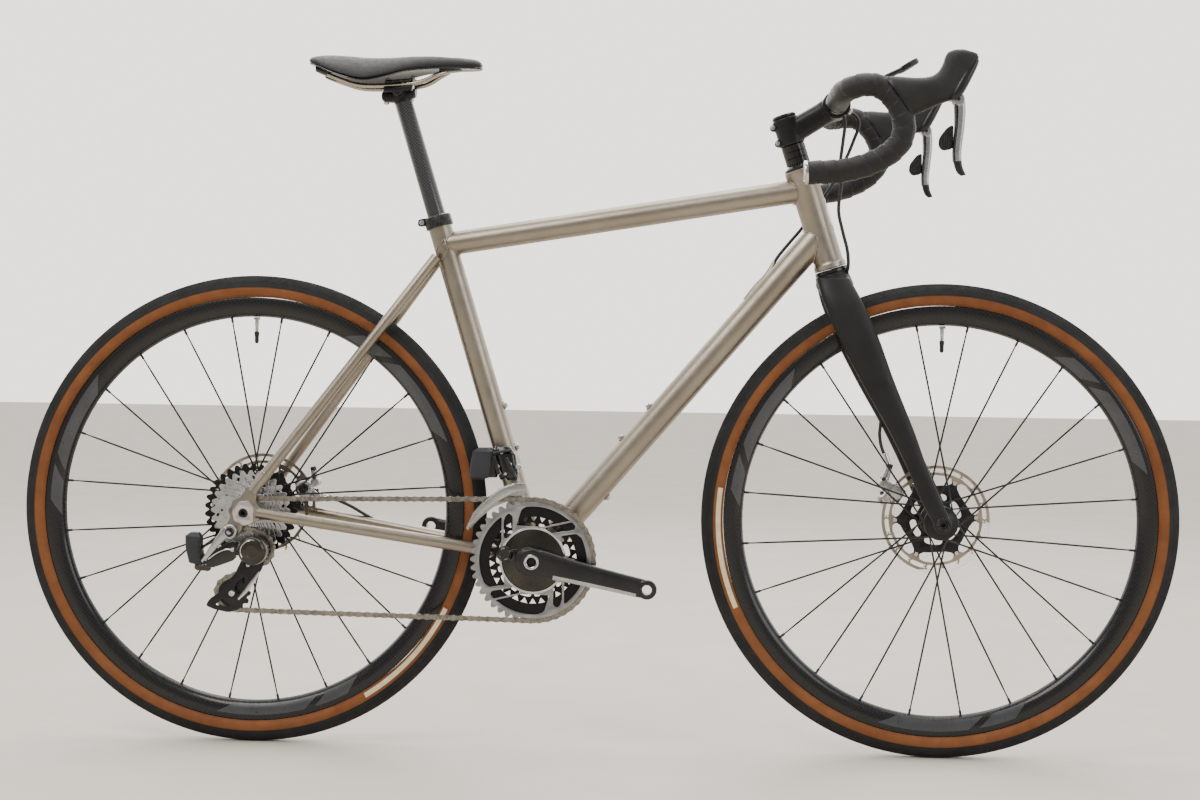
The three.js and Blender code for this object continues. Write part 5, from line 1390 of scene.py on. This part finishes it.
def add_post():
    """The seatpost and the clamp that grips the saddle's rails."""
    post = turned([(11.4, 380), (13.2, 380), (13.6, 380.5), (13.6, 700), (13.0, 703), (11.4, 703)],
                  bottom_bracket, seat_axis, 80)
    piece("seatpost_tube", post, "gloss_carbon", "seat", ("seatpost",))
    neck = rod(along_seat(697), along_seat(724), 13.4, 1.5, 40)
    cradle = loft([((-322, 0, 964), (0, 10, 0), (0, 0, 6)), ((-318, 0, 963.5), (0, 12, 0), (0, 0, 8.5)),
                   ((-300, 0, 963.5), (0, 13, 0), (0, 0, 9.2)), ((-280, 0, 967), (0, 12, 0), (0, 0, 8.5)),
                   ((-272, 0, 969), (0, 10, 0), (0, 0, 6))], 32, 0.7)
    seats = [loft([((-316, y, 971.5), (0, 6, 0), (0, 0, 4.6)), ((-274, y, 974), (0, 6, 0), (0, 0, 4.6))],
                  24, 0.6) for y in (-22, 22)]
    beam = cross_rod(-296, 970, -26, 26, 7.6, 1)
    piece("post_head", fused([neck, cradle, beam, *seats], 1.1, 4), "black_alloy", "seat",
          ("saddle_clamp",))
    yokes = [loft([((-314, y, 982.5), (0, 5.6, 0), (0, 0, 2.4)),
                   ((-276, y, 985.5), (0, 5.6, 0), (0, 0, 2.4))], 24, 0.6) for y in (-22, 22)]
    bridges = [cross_rod(x, z, -22, 22, 3.6, 0.8, 20) for x, z in ((-312, 982.5), (-277, 985.5))]
    piece("rail_yokes", merged(*yokes, *bridges), "black_alloy", "seat", ())
    bolts = [rod((x, 0, z), (x + 3, 0, z + 33), 2.6, 0.4, 20) for x, z in ((-316, 956), (-279, 960))]
    heads = [socket_bolt((x, 0, z), (-0.1, 0, -1), 4.2, 3.4) for x, z in ((-316, 955.5), (-279, 960))]
    nuts = [rod((x - 0.4, -6, z), (x + 0.4, 6, z), 4.0, 0.6, 20) for x, z in ((-313, 987), (-276, 990.5))]
    piece("clamp_bolts", merged(*bolts, *heads, *nuts), "polished", "seat", ())


def add_saddle():
    """The rails, the saddle's base with its rail sockets, and its padded cover."""
    rail_path = curve_through(rail_half + [(x, -y, z) for x, y, z in rail_half[::-1]], 6)
    piece("rail_loop", tube(rail_path, 3.5, 24), "rail", "seat", ("saddle_rails",))
    sockets = [loft([((-414, y * 36, 999.5), (0, 7, 0), (0, 0, 5)),
                     ((-398, y * 34, 994), (0, 6, 0), (0, 0, 5))], 24, 0.7) for y in (1, -1)]
    sockets.append(loft([((-236, 0, 1002), (0, 15, 0), (0, 0, 4.5)),
                         ((-205, 0, 1005), (0, 11, 0), (0, 0, 4))], 24, 0.7))
    piece("saddle_underside", merged(saddle_shell(0.965, 3.6, 0.8), *sockets), "saddle_base", "seat", ())
    cover = piece("saddle_cover", saddle_shell(), "saddle", "seat", ("saddle",), levels=1)


add_post()
add_saddle()


# ---- crank and chainrings ----
arm_stations = [(-24, 68, 6, 10), (-14, 68, 8.5, 19), (10, 68.5, 9, 20.5), (45, 71, 8.5, 18),
                (110, 76, 7.6, 15), (165, 80, 7, 14)]


def crank_place(turn=0.0):
    """Where the crank's own axes sit on the bicycle, for an arm turned by so many degrees."""
    return Matrix.Translation(bottom_bracket) @ Matrix.Rotation(crank_angle + math.radians(turn), 4, "Y")


def arm_strip(start, end, from_angle, to_angle):
    """A thin band lying on the right arm's surface between two directions round its section."""
    rings = []
    for x, y, over, half in curve_through(arm_stations, 8):
        if not start <= x <= end:
            continue
        rows = []
        for swell, sweep in ((0.35, (from_angle, to_angle)), (-0.9, (to_angle, from_angle))):
            for angle in np.radians(np.linspace(*sweep, 9)):
                rows.append((x, -y + (over + swell) * bulge(math.cos(angle), 0.6),
                             (half + swell) * bulge(math.sin(angle), 0.6)))
        rings.append(np.array(rows))
    return skin(rings)


def add_crank(label, side, turn):
    """One crank arm with its pedal eye, collar and half of the spindle."""
    rows = curve_through(arm_stations, 6)
    arm = loft([((x, side * y, 0), (0, over, 0), (0, 0, half)) for x, y, over, half in rows], 40, 0.6)
    eye = rod((172, side * 73.6, 0), (172, side * 87.2, 0), 14.3, 1.6, 48)
    boss = rod((0, side * 60, 0), (0, side * 77.6, 0), 19.5, 1.6, 48)
    shape = fused([arm, eye, boss], 1.2, 4)
    holes = merged(rod((172, side * 66, 0), (172, side * 95, 0), 8.2),
                   rod((0, side * 70, 0), (0, side * 82, 0), 10.2))
    place = crank_place(turn)
    piece(f"crank_{label}_arm", placed(cut(shape, holes), place), "crank_carbon", "crank",
          (f"crank_arm_{label}",))
    thread = turned([(7.1, 73.4), (8.4, 73.4), (9.6, 73.0), (9.6, 73.9), (8.5, 74.4), (8.5, 86.6),
                     (9.6, 87.1), (9.6, 87.9), (7.1, 87.9)], (172, 0, 0), (0, side, 0), 48)
    collar = turned([(7.3, 70.8), (10.3, 70.8), (10.9, 77.5), (10.9, 78.5), (10.2, 78.9), (8.8, 78.9),
                     (7.3, 78.0)], axis=(0, side, 0), sides=48)
    piece(f"crank_{label}_collar", placed(collar, place), "polished", "crank", ())
    socket = turned([(0, 71.2), (7.4, 71.2), (7.4, 75.5), (6.6, 76.4), (6.2, 75.8), (6.2, 72.4), (0, 72.4)],
                    axis=(0, side, 0), sides=6)
    spindle = turned([(0, 20), (14.4, 20), (14.4, 61), (0, 61)], axis=(0, side, 0), sides=48)
    piece(f"crank_{label}_spindle", placed(merged(socket, spindle, thread), place), "black_alloy", "crank",
          ())


window_wide = [
    (-17.5, 74), (-24.6, 50.8), (-12, 50.2), (0, 49.6), (16.4, 49.6), (34, 54.4), (54, 59),
    *circle(0, 0, 79, 12, math.radians(52), math.radians(46)),
]
slot_right = [(17.5, 48), (40, 53), (57, 57), (61.8, 51.5), (60, 46), (43, 43), (27, 39.8), (20, 43)]
window_side = [(41, 36.5), (63, 40), *circle(0, 0, 78.6, 20, math.radians(26), math.radians(-78)),
               (46.5, -62), (46.5, -31), (48.8, -14), (48.8, 0), (46.6, 12), (44, 19)]
slot_down = [(30.5, -38), (30.5, -64), (36, -68.5), (41, -64), (43.2, -56), (43.2, -31), (38, -32)]


def turned_about(loop, angle):
    """A closed outline turned about the crank's centre."""
    cosine, sine = math.cos(angle), math.sin(angle)
    return [(x * cosine - z * sine, x * sine + z * cosine) for x, z in loop]


def hole(loop, corner):
    """The outline as a hole: rounded, and wound against its plate."""
    path = rounded(loop, corner)
    area = sum(a[0] * b[1] - b[0] * a[1] for a, b in zip(path, path[1:] + path[:1]))
    return path if area < 0 else path[::-1]


def add_chainrings():
    """The outer ring with its windows, and the inner ring with its drum and ramps."""
    place = Matrix.Translation(bottom_bracket)
    windows = []
    for turn in (0.0, math.pi):
        for loop, corner in ((window_wide, 2.0), (slot_right, 2.5), (window_side, 2.0), (slot_down, 2.0)):
            windows.append(hole(turned_about(loop, turn), corner))
    middle = circle(0, 0, 45.4, 72)[::-1]
    teeth = plate(sprocket(big_teeth), big_ring_y - 0.9, big_ring_y + 0.9, [circle(0, 0, 80, 96)[::-1]],
                  0.35)
    web = plate(circle(0, 0, 85.2, 144), big_ring_y - 2.6, big_ring_y + 0.6, [middle, *windows], 0.6, 2)
    piece("outer_ring_face", placed(merged(teeth, web), place), "ring_silver", "crank", ("chainrings",))
    backing = plate(circle(0, 0, 83, 96), big_ring_y + 1.0, big_ring_y + 2.4,
                    [circle(0, 0, 63.6, 96)[::-1]], 0.3)
    ramps = [rod((r * math.cos(a), big_ring_y + 0.4, r * math.sin(a)), (r * math.cos(a), big_ring_y + 3.2,
             r * math.sin(a)), 1.9, 0.4, 16)
             for r, a in ((84.5, math.radians(20 + 45 * k)) for k in range(8))]
    openings = []
    for k in range(9):
        for middle_angle, half_sweep, inner, outer in ((17 + 40 * k, 6.2, 47.8, 54.8),
                                                       (37 + 40 * k, 2.2, 49.2, 54.0)):
            loop = arc_slot(inner, outer, math.radians(middle_angle - half_sweep),
                            math.radians(2 * half_sweep))
            openings.append(hole(loop, 1.6))
    inner = plate(sprocket(small_teeth, 3.8, 3.6), small_ring_y - 1, small_ring_y + 1,
                  [circle(0, 0, 41, 72)[::-1], *openings], 0.4)
    drum = turned([(40.4, small_ring_y + 0.8), (40.4, big_ring_y - 1.2), (45.6, big_ring_y - 1.2),
                   (45.6, small_ring_y - 0.8)], sides=96)
    piece("inner_ring", placed(merged(backing, inner, drum, *ramps), place), "ring_black", "crank", ())


def add_spider():
    """The spider's dish with its battery and lip, and the stripe on the right arm."""
    place = Matrix.Translation(bottom_bracket)
    dish = turned([(14.6, 47.4), (45.2, 47.4), (45.2, 52.2), (44.6, 53.4), (41, 54.6), (30, 56.4),
                   (20, 57.2), (14.6, 57.2)], axis=(0, -1, 0), sides=120)
    pod = fused([rod((-40.8, -49, 9.2), (-40.8, -60.6, 9.2), 11.6, 1.6, 48),
                 loft([((-24, -54.5, 5), (1.5, 0, 11), (0, 4, 0)),
                       ((-41, -54.5, 9), (1.5, 0, 9.5), (0, 5.2, 0))], 32, 0.7)], 0.8, 3)
    lid = turned([(0, 60.4), (8.6, 60.4), (9.1, 61.2), (8.0, 61.8), (7.2, 61.3), (3.2, 61.3), (2.8, 60.8),
                  (0, 60.8)], (-40.8, 0, 9.2), (0, -1, 0), 40)
    piece("spider_dish", placed(dish, place), "bronze_plastic", "crank", ())
    piece("battery_pod", placed(merged(pod, lid), place), "gloss_black", "crank", ())
    lip = turned([(45.0, 50.4), (48.8, 50.4), (48.8, 52.9), (48.2, 53.4), (45.8, 53.4), (45.2, 52.9)],
                 axis=(0, -1, 0), sides=144)
    piece("ring_lip", placed(lip, place), "polished", "crank", ())
    piece("arm_stripe", placed(arm_strip(34, 160, 206, 262), crank_place()), "silver_alloy", "crank", ())


def add_cassette():
    """Twelve cogs and their lock ring; the largest cog and the spacers are black."""
    place = Matrix.Translation(rear_axle)
    silver, black = [], []
    count = len(cog_teeth)
    for k, teeth in enumerate(cog_teeth):
        y = small_cog_y + (large_cog_y - small_cog_y) * k / (count - 1)
        inner = max(13.2, pitch_radius(teeth) - 13)
        holes = [circle(0, 0, inner, 48)[::-1]]
        if teeth >= 17:
            spots = teeth // 2
            ring = pitch_radius(teeth) - 7.8
            for i in range(spots):
                angle = TURN * (i + 0.35 * (k % 3)) / spots
                holes.append(circle(ring * math.cos(angle), ring * math.sin(angle), 2.7, 12)[::-1])
        cog = plate(sprocket(teeth, 3.6, 2.9), y - 0.8, y + 0.8, holes, 0.3)
        (black if k == count - 1 else silver).append(cog)
        if k < count - 1:
            step = abs(large_cog_y - small_cog_y) / (count - 1)
            shoulder = max(inner + 2.4, pitch_radius(teeth) - 4.4)
            black.append(turned([(inner, y + 0.7), (shoulder, y + 0.7), (shoulder, y + step - 0.7),
                                 (inner, y + step - 0.7)], sides=64))
    lock = turned([(12.2, -68.2), (14.6, -68.2), (15.6, -67.6), (15.6, -66.6), (12.2, -66.6)], sides=48)
    piece("cassette_cogs", placed(merged(*silver, lock), place), "cog_silver", "cassette", ("cassette",))
    piece("cassette_largest", placed(merged(*black), place), "cog_black", "cassette", ())


# ---- chain ----
chain_wheels = [
    (bottom_bracket, big_ring_y, pitch_radius(big_teeth), 1),
    (rear_axle, small_cog_y, pitch_radius(cog_teeth[0]), 1),
    (guide_pulley, small_cog_y, pitch_radius(pulley_teeth), -1),
    (tension_pulley, small_cog_y, pitch_radius(pulley_teeth), 1),
]


def chain_stretches():
    """Each wheel's arc and the straight run that leaves it, as fine points."""
    headings = []
    for (a, _, ra, ta), (b, _, rb, tb) in zip(chain_wheels, chain_wheels[1:] + chain_wheels[:1]):
        span = math.hypot(b.x - a.x, b.z - a.z)
        headings.append(math.atan2(b.z - a.z, b.x - a.x) + math.asin((ta * ra - tb * rb) / span))
    arcs = []
    for i, (centre, y, radius, turn) in enumerate(chain_wheels):
        arrive = headings[i - 1]
        swing = (headings[i] - arrive) % TURN
        if turn < 0:
            swing -= TURN
        angles = arrive + swing * np.linspace(0, 1, 60)
        arcs.append([(centre.x + turn * radius * math.sin(h), y, centre.z - turn * radius * math.cos(h))
                     for h in angles])
    stretches = []
    for i, arc in enumerate(arcs):
        start, end = np.array(arc[-1]), np.array(arcs[(i + 1) % len(arcs)][0])
        run = []
        for share in np.linspace(0, 1, 80)[1:-1]:
            point = start + (end - start) * share
            ease = min(1.0, max(0.0, (share - 0.13) / 0.74))
            point[1] = start[1] + (end[1] - start[1]) * ease
            run.append(tuple(point))
        stretches.append((f"arc_{i}", arc))
        stretches.append((f"run_{i}", run))
    return stretches


chain_parts = {
    "arc_0": ((-math.inf, "ring"),),
    "run_0": ((-80, "ring"), (-115, "lift_front"), (-180, "caged"), (-300, "lift_rear"),
              (-math.inf, "cogs")),
    "arc_1": ((-math.inf, "cogs"),),
    "run_1": ((-math.inf, "drop"),),
    "arc_2": ((-math.inf, "top_wheel"),),
    "run_2": ((-math.inf, "low_wheel"),),
    "arc_3": ((-math.inf, "low_wheel"),),
    "run_3": ((-250, "ring"), (-380, "lower_front"), (-525, "lower_mid"), (-math.inf, "lower_end")),
}


def chain_part(stretch, x):
    """Which part of the chain a point belongs to: the first whose rear limit lies behind it."""
    return next(part for limit, part in chain_parts[stretch] if x > limit)


chain_bodies = {
    "ring": "frame",
    "cogs": "frame",
    "lift_front": ("frame", "front_shift_cage", (-80, -50, 372), (-115, -50, 372)),
    "caged": "front_shift_cage",
    "lift_rear": ("front_shift_cage", "frame", (-180, -52, 371), (-300, -57, 370)),
    "lower_front": ("frame", "pulley_body", (-250, -57, 200), (-380, -63, 202)),
    "lower_mid": ("pulley_body", "pulley_cage", (-380, -63, 202), (-525, -66, 205)),
    "lower_end": "pulley_cage",
    "low_wheel": "pulley_cage",
    "top_wheel": ("pulley_body", "pulley_cage", (-478, -66, 300), (-503, -66, 284)),
    "drop": ("frame", "pulley_body", (-500, -66, 328), (-482, -66, 305)),
}


def link_plates(inside, outside, half):
    """A pair of side plates, each two round ends with a waist between."""
    outline = []
    for centre, start in ((chain_pitch, -2.05), (0, math.pi - 2.05)):
        outline += circle(centre, 0, half, 12, start, 4.1)
        outline.append((chain_pitch / 2, half * (0.72 if centre else -0.72)))
    return merged(plate(outline, -outside, -inside, (), 0.14), plate(outline, inside, outside, (), 0.14))


def add_chain():
    """The chain link by link, in parts that split where one body hands it to the next."""
    names, points = [], []
    for stretch, path in chain_stretches():
        names += [chain_part(stretch, x) for x, _, _ in path]
        points += path
    path = np.array(points + points[:1])
    along = distances(path)
    count = 2 * round(along[-1] / chain_pitch / 2)
    stops = np.linspace(0, along[-1], count, endpoint=False)
    pins = points_at(path, along, stops)
    outer_pins = [cross_rod(x, 0, -2.9, 2.9, 1.75, 0.3, 12) for x in (0, chain_pitch)]
    rollers = [cross_rod(x, 0, -1, 1, 3.7, 0.2, 16) for x in (0, chain_pitch)]
    outer = merged(link_plates(1.85, 2.6, 4.1), *outer_pins)
    inner = merged(link_plates(0.95, 1.7, 4.2), *rollers)
    parts = {}
    for i in range(count):
        start, end = Vector(pins[i]), Vector(pins[(i + 1) % count])
        way = (end - start).normalized()
        side = Vector((0, 1, 0)) - way * way.y
        side.normalize()
        over = way.cross(side)
        place = Matrix((way, side, over)).transposed().to_4x4()
        middle = stops[i] + chain_pitch / 2
        part = names[int(np.searchsorted(along, middle % along[-1])) % len(names)]
        link = placed(outer if i % 2 else inner, Matrix.Translation(start) @ place)
        parts.setdefault(part, []).append(link)
    for part, links in sorted(parts.items()):
        replaced = ("chain",) if part == min(parts) else ()
        piece(f"chain_{part}", merged(*links), "chain", chain_bodies[part], replaced)


# ---- front derailleur ----
def polar(radius, degrees):
    """A point in the rings' plane, by its radius and its degrees from straight ahead."""
    angle = math.radians(degrees)
    return bottom_bracket.x + radius * math.cos(angle), bottom_bracket.z + radius * math.sin(angle)


def add_front_derailleur():
    """The front derailleur: housing, battery, links and cage."""
    housing = [
        loft([((-118, -34, 400), (8, 0, 0), (0, 11, 0)), ((-122, -35, 412), (13.5, 0, 0), (0, 13.5, 0)),
              ((-129, -34, 438), (16.5, 0, 0), (0, 13.5, 0)), ((-133, -33, 450), (11, 0, 0), (0, 9, 0))],
             32, 0.6),
        loft([((-150, -36, 404), (10, 0, 0), (0, 10, 0)), ((-146, -36, 445), (10, 0, 0), (0, 10, 0))], 32,
             0.6),
    ]
    piece("front_mech_housing", fused(housing, 1.0, 3), "gloss_black", "frame", ("front_derailleur",))
    battery = loft([((-168, -36, 400.5), (8, 0, 0), (0, 8, 0)),
                    ((-166, -36, 404), (15.5, 0, 0), (0, 12.6, 0)),
                    ((-162.5, -36, 424), (17.4, 0, 0), (0, 13, 0)),
                    ((-160, -36, 442), (16.6, 0, 0), (0, 12.6, 0)),
                    ((-159, -36, 447.5), (9, 0, 0), (0, 8, 0))], 40, 0.55)
    piece("front_mech_battery", battery, "dark_plastic", "frame", ())
    links = [rod((-113, -49.2, 405), (-127, -49.2, 434), 3.4, 0.8, 20),
             rod((-137, -49.2, 409), (-144, -49.2, 436), 2.6, 0.6, 20),
             rod((-146, -48.8, 440), (-118, -48.8, 445), 2.2, 0.5, 20),
             rod((-112, -44, 416), (-136, -44, 404), 4.2, 0.8, 20)]
    bolts = [socket_bolt((x, -48, z), (0, -1, 0), r, 2.6) for x, z, r in
             ((-108.5, 420.6, 4.4), (-121, 424, 3.4), (-138, 421, 3.0), (-127, 410, 2.6), (-133, 441, 2.6))]
    piece("front_mech_links", merged(*links), "black_plastic", "frame", ())
    piece("front_mech_bolts", merged(*bolts), "polished", "frame", ())
    blade = [polar(r, a) for r, a in ((103, 96), (104, 104), (101.5, 112), (100.5, 122), (100.5, 134),
                                      (101.8, 143), (105, 152.5), (109.2, 151.5), (110.3, 137),
                                      (112.6, 124), (116.2, 114), (116.8, 104), (113.6, 95.5))]
    outer = plate(rounded(blade, 3), -58, -56.5, (), 0.5, 3)
    crest_points = ((114.4, 104), (114, 113), (111, 124), (109, 137), (108, 149))
    crest = curve_through([(*polar(r, a), 0) for r, a in crest_points], 4)
    rim = tube([(x, -58.2, z) for x, z, _ in crest], 1.2, 12)
    inner = plate(rounded([polar(r, a) for r, a in ((97, 97), (97, 128), (99, 143), (104, 156), (109, 154),
                                                    (112, 143), (114, 128), (114.5, 112), (112, 97))], 3),
                  -44.8, -43.4, (), 0.4)
    bridges = [plate(rounded([polar(r, a) for r, a in corners], 1), -57, -44, (), 0.5)
               for corners in (((108.5, 99), (108.5, 111), (114, 111), (112, 99)),
                               ((103.8, 152), (103.8, 156), (108.3, 155), (108.3, 151.5)))]
    piece("front_mech_blade", merged(outer, rim, inner, *bridges), "silver_alloy", "front_shift_cage",
          ("front_derailleur_cage",))


# ---- rear derailleur ----
link_hinge = Vector((0, 0.756, 0.655)).normalized()
link_root, link_tip = Vector((-561.6, -66.5, 273.5)), Vector((-513, -86, 296))
link_way = (link_tip - link_root).normalized()
hanger_eye = Vector((-524, -75, 321.4))


def on_hinge(point, height):
    """A point moved along the rear derailleur's hinge line."""
    return Vector(point) + link_hinge * height


def add_knuckle():
    """The derailleur's knuckle on its hanger, with the battery behind it."""
    arm_rows = curve_through([(-525, -92.4, 324, 8.8, 3.8), (-536, -92.0, 313, 6.6, 3.6),
                              (-548, -90.4, 298, 5.2, 3.4), (-557, -87, 284, 5.4, 3.4),
                              (-563, -84, 274, 6.4, 3.2)], 6)
    along = unit((-0.62, 0, -0.78))
    broad = np.cross(along, (0, 1, 0))
    arm = loft([((x, y, z), tuple(broad * half), (0, thick, 0)) for x, y, z, half, thick in arm_rows], 32,
               0.7)
    boss = rod((hanger_eye.x, -80, hanger_eye.z), (hanger_eye.x, -94, hanger_eye.z), 10.8, 1.2, 40)
    ears = [rod(on_hinge(link_root, a), on_hinge(link_root, b), 6.6, 0.8, 28)
            for a, b in ((8.9, 12.4), (-12.4, -8.9))]
    post = rod(on_hinge(link_root - Vector((13, 0, 0)), -12), on_hinge(link_root - Vector((13, 0, 0)), 12),
               5.6, 0.8, 28)
    width = Vector((1, 0, 0)).cross(link_hinge).normalized()
    cheeks = [loft([(tuple(on_hinge(p, height)), tuple(width * 6.4), tuple(link_hinge * 1.7))
                    for p in (link_root, link_root - Vector((13, 0, 0)))], 24, 0.7)
              for height in (10.6, -10.6)]
    back = loft([((-534, -85, 316), (5, 0, 6), (0, 4.5, 0)), ((-556, -82, 305), (6, 0, 7), (0, 5, 0)),
                 ((-573, -76, 290), (4, 0, 8), (0, 6, 0))], 28, 0.7)
    piece("knuckle_arm", fused([arm, boss], 0.8, 3), "silver_alloy", "frame", ("derailleur_knuckle",))
    piece("knuckle_frame", fused([back, post, *cheeks, *ears], 0.9, 3), "bronze_plastic", "frame", ())
    piece("knuckle_bolt", merged(socket_bolt((hanger_eye.x, -93.6, hanger_eye.z), (0, -1, 0), 7.2, 2.6),
                                 socket_bolt((-561, -87.5, 276), (0, -1, 0), 2.8, 2.0)),
          "black_alloy", "frame", ())
    battery = loft([((-573, -73, 271.5), (6, 0, 0), (0, 6, 0)),
                    ((-576, -73, 275), (11, 0, 0.8), (0, 10.6, 0)),
                    ((-580, -74, 296), (12, 0, 0), (0, 11, 0)),
                    ((-580.5, -74, 313), (12, 0, -0.8), (0, 10.8, 0)),
                    ((-579, -74, 318.6), (6.5, 0, 0), (0, 6, 0))], 40, 0.5)
    piece("rear_mech_battery", battery, "dark_plastic", "frame", ())
    latch = loft([((-569.5, -79.5, 283), (1.8, 0, 0), (0, 6, 0)),
                  ((-569, -79.5, 306), (1.8, 0, 0), (0, 6, 0))], 20, 0.5)
    piece("battery_latch", latch, "black_plastic", "frame", ())


def add_shift_link():
    """The link between knuckle and pulley body, with its outer shield, a painted highlight along the
    shield's top edge, and the pivot pin.
    """
    side = link_way.cross(link_hinge).normalized()
    web = [(tuple(link_root.lerp(link_tip, t)), tuple(link_hinge * 7.7), tuple(side * h))
           for t, h in ((0, 5.2), (0.3, 4.4), (0.7, 4.4), (1, 5.2))]
    bars = [rod(on_hinge(p, -7.9), on_hinge(p, 7.9), 5.9, 0.6, 32) for p in (link_root, link_tip)]
    piece("parallelogram_link", fused([loft(web, 28, 0.6), *bars], 0.7, 3), "bronze_plastic", "shift_link",
          ("derailleur_link",))
    shield = loft([((-558, -88.5, 275), (0, 0, 6), (0, 2.6, 0)),
                   ((-548, -90.5, 281), (0, 0, 12), (0, 3, 0)), ((-531, -92.5, 290), (0, 0, 15), (0, 3, 0)),
                   ((-518, -94, 295), (0, 0, 15), (0, 3, 0)),
                   ((-513.5, -94.5, 296.5), (0, 0, 12), (0, 2.4, 0))], 36, 0.6)
    piece("link_shield", shield, "gloss_black", "shift_link", ())
    # Painted highlight: a thin polished tube along the shield's top edge stands in for the glint on the
    # shield's bevel; it is not a real trim.
    highlight_path = curve_through([(-555, -93, 281), (-541, -95.4, 291), (-527, -97, 296.5),
                                 (-519, -97.6, 296)], 5)
    pivot_pin = socket_bolt((-518.5, -96.4, 296), (0, -1, 0), 3.2, 2.0)
    piece("link_painted_highlight_and_pin", merged(tube(highlight_path, 0.9, 10), pivot_pin), "polished", "shift_link", ())


def add_pulley_knuckle():
    """The round pulley body, hollowed where the link swings into it."""
    body = turned([(0, 75.4), (20.4, 75.4), (21.4, 76.4), (21.4, 92), (20.6, 95.6), (18.4, 98.6),
                   (14.6, 100.4), (9.4, 100.9), (8.8, 100.2), (4, 100.2), (0, 100.2)],
                  (guide_pulley.x, 0, guide_pulley.z), (0, -1, 0), 72)
    neck = rod((guide_pulley.x, -73.9, guide_pulley.z), (guide_pulley.x, -77, guide_pulley.z), 9, 0.4, 40)
    keep_out = []
    for at in [link_tip + Vector((x, 0, 0)) for x in (-12, -4, 4, 11)] + [link_tip - link_way * 10]:
        keep_out.append(rod(on_hinge(at, -9.2), on_hinge(at, 9.2), 9.2, 0, 24))
    shell = merged(body, neck)
    for tool in keep_out:
        shell = cut(shell, tool)
    piece("pulley_knuckle", shell, "bronze_plastic", "pulley_body", ("derailleur_body",))
    crease = [(guide_pulley.x + 15.4 * math.cos(a), -100.4, guide_pulley.z + 15.4 * math.sin(a))
              for a in np.radians(np.linspace(95, 215, 20))]
    low_bolt = socket_bolt((guide_pulley.x - 9, -76.6, guide_pulley.z - 22.2), (0, -1, 0), 3.4, 3.2)
    piece("pulley_knuckle_trim", merged(tube(crease, 0.7, 10), low_bolt), "polished", "pulley_body", ())


def add_cage():
    """The two cage plates and the pins between them."""
    gx, gz = guide_pulley.x, guide_pulley.z
    outline = rounded([(gx - 11, gz + 5), (gx - 3, gz + 12), (gx + 8, gz + 9), (gx + 12, gz - 2),
                       (-479, 268), (-497, 240), (-504, 218), (-514, 206), (-530, 201.5), (-552, 206),
                       (-563, 211), (-560, 217), (-556, 222), (-541, 232), (-530, 246), (-515, 266),
                       (-503, 284)], 4)
    windows = [hole([(-517, 246), (-506, 254), (-507, 240), (-515, 228), (-521, 236)], 2),
               hole([(-549, 212.5), (-537, 209.5), (-527, 212), (-538, 222)], 2)]
    outer = plate(outline, -73.2, -71.4, windows, 0.5, 3)
    inner = plate(rounded([(gx - 10, gz), (gx - 4, gz + 9), (gx + 7, gz + 8), (gx + 10, gz - 3),
                           (-505, 225), (-514, 216), (-530, 215), (-537, 224), (-535, 238)], 4), -60.8,
                  -59.2, (), 0.4)
    pins = [cross_rod(p.x, p.z, -72.4, -60, 2.9, 0.3, 20) for p in (guide_pulley, tension_pulley)]
    piece("cage_plates", merged(outer, inner, *pins), "black_plastic", "pulley_cage", ("derailleur_cage",))
    edge = curve_through([(-484, -73.4, 262), (-493, -73.4, 248), (-504, -73.4, 233), (-515, -73.4, 221)],
                         5)
    trim = tube(edge, lambda share, angle: 1.5 + 1.7 * math.sin(math.pi * share), 14, flat=0.5)
    bolt = socket_bolt((tension_pulley.x, -72.9, tension_pulley.z), (0, -1, 0), 4.2, 1.4)
    piece("cage_trim", merged(trim, bolt), "polished", "pulley_cage", ())


def add_jockey_wheels():
    """The guide and tension pulleys."""
    for name, node, body_name, centre, root, tip in (
            ("guide_jockey", "guide_pulley", "guide_wheel", guide_pulley, 7, -5.4),
            ("tension_jockey", "tension_pulley", "tension_wheel", tension_pulley, 3.8, 2.4)):
        spots = [circle(9.6 * math.cos(a), 9.6 * math.sin(a), 1.5, 10)[::-1]
                 for a in np.arange(6) * TURN / 6]
        disc = plate(sprocket(pulley_teeth, root, tip), -0.95, 0.95, [circle(0, 0, 3.4, 24)[::-1], *spots],
                     0.2)
        hub = turned([(3.3, -3.5), (7.2, -3.5), (7.8, -2.9), (7.8, 2.9), (7.2, 3.5), (3.3, 3.5)], sides=36)
        place = Matrix.Translation(centre)
        piece(name, placed(merged(disc, hub), place), "black_plastic", body_name, (node,))


add_crank("right", -1, 0)
add_crank("left", 1, 180)
add_chainrings()
add_spider()
add_cassette()
add_chain()
add_front_derailleur()
add_knuckle()
add_shift_link()
add_pulley_knuckle()
add_cage()
add_jockey_wheels()
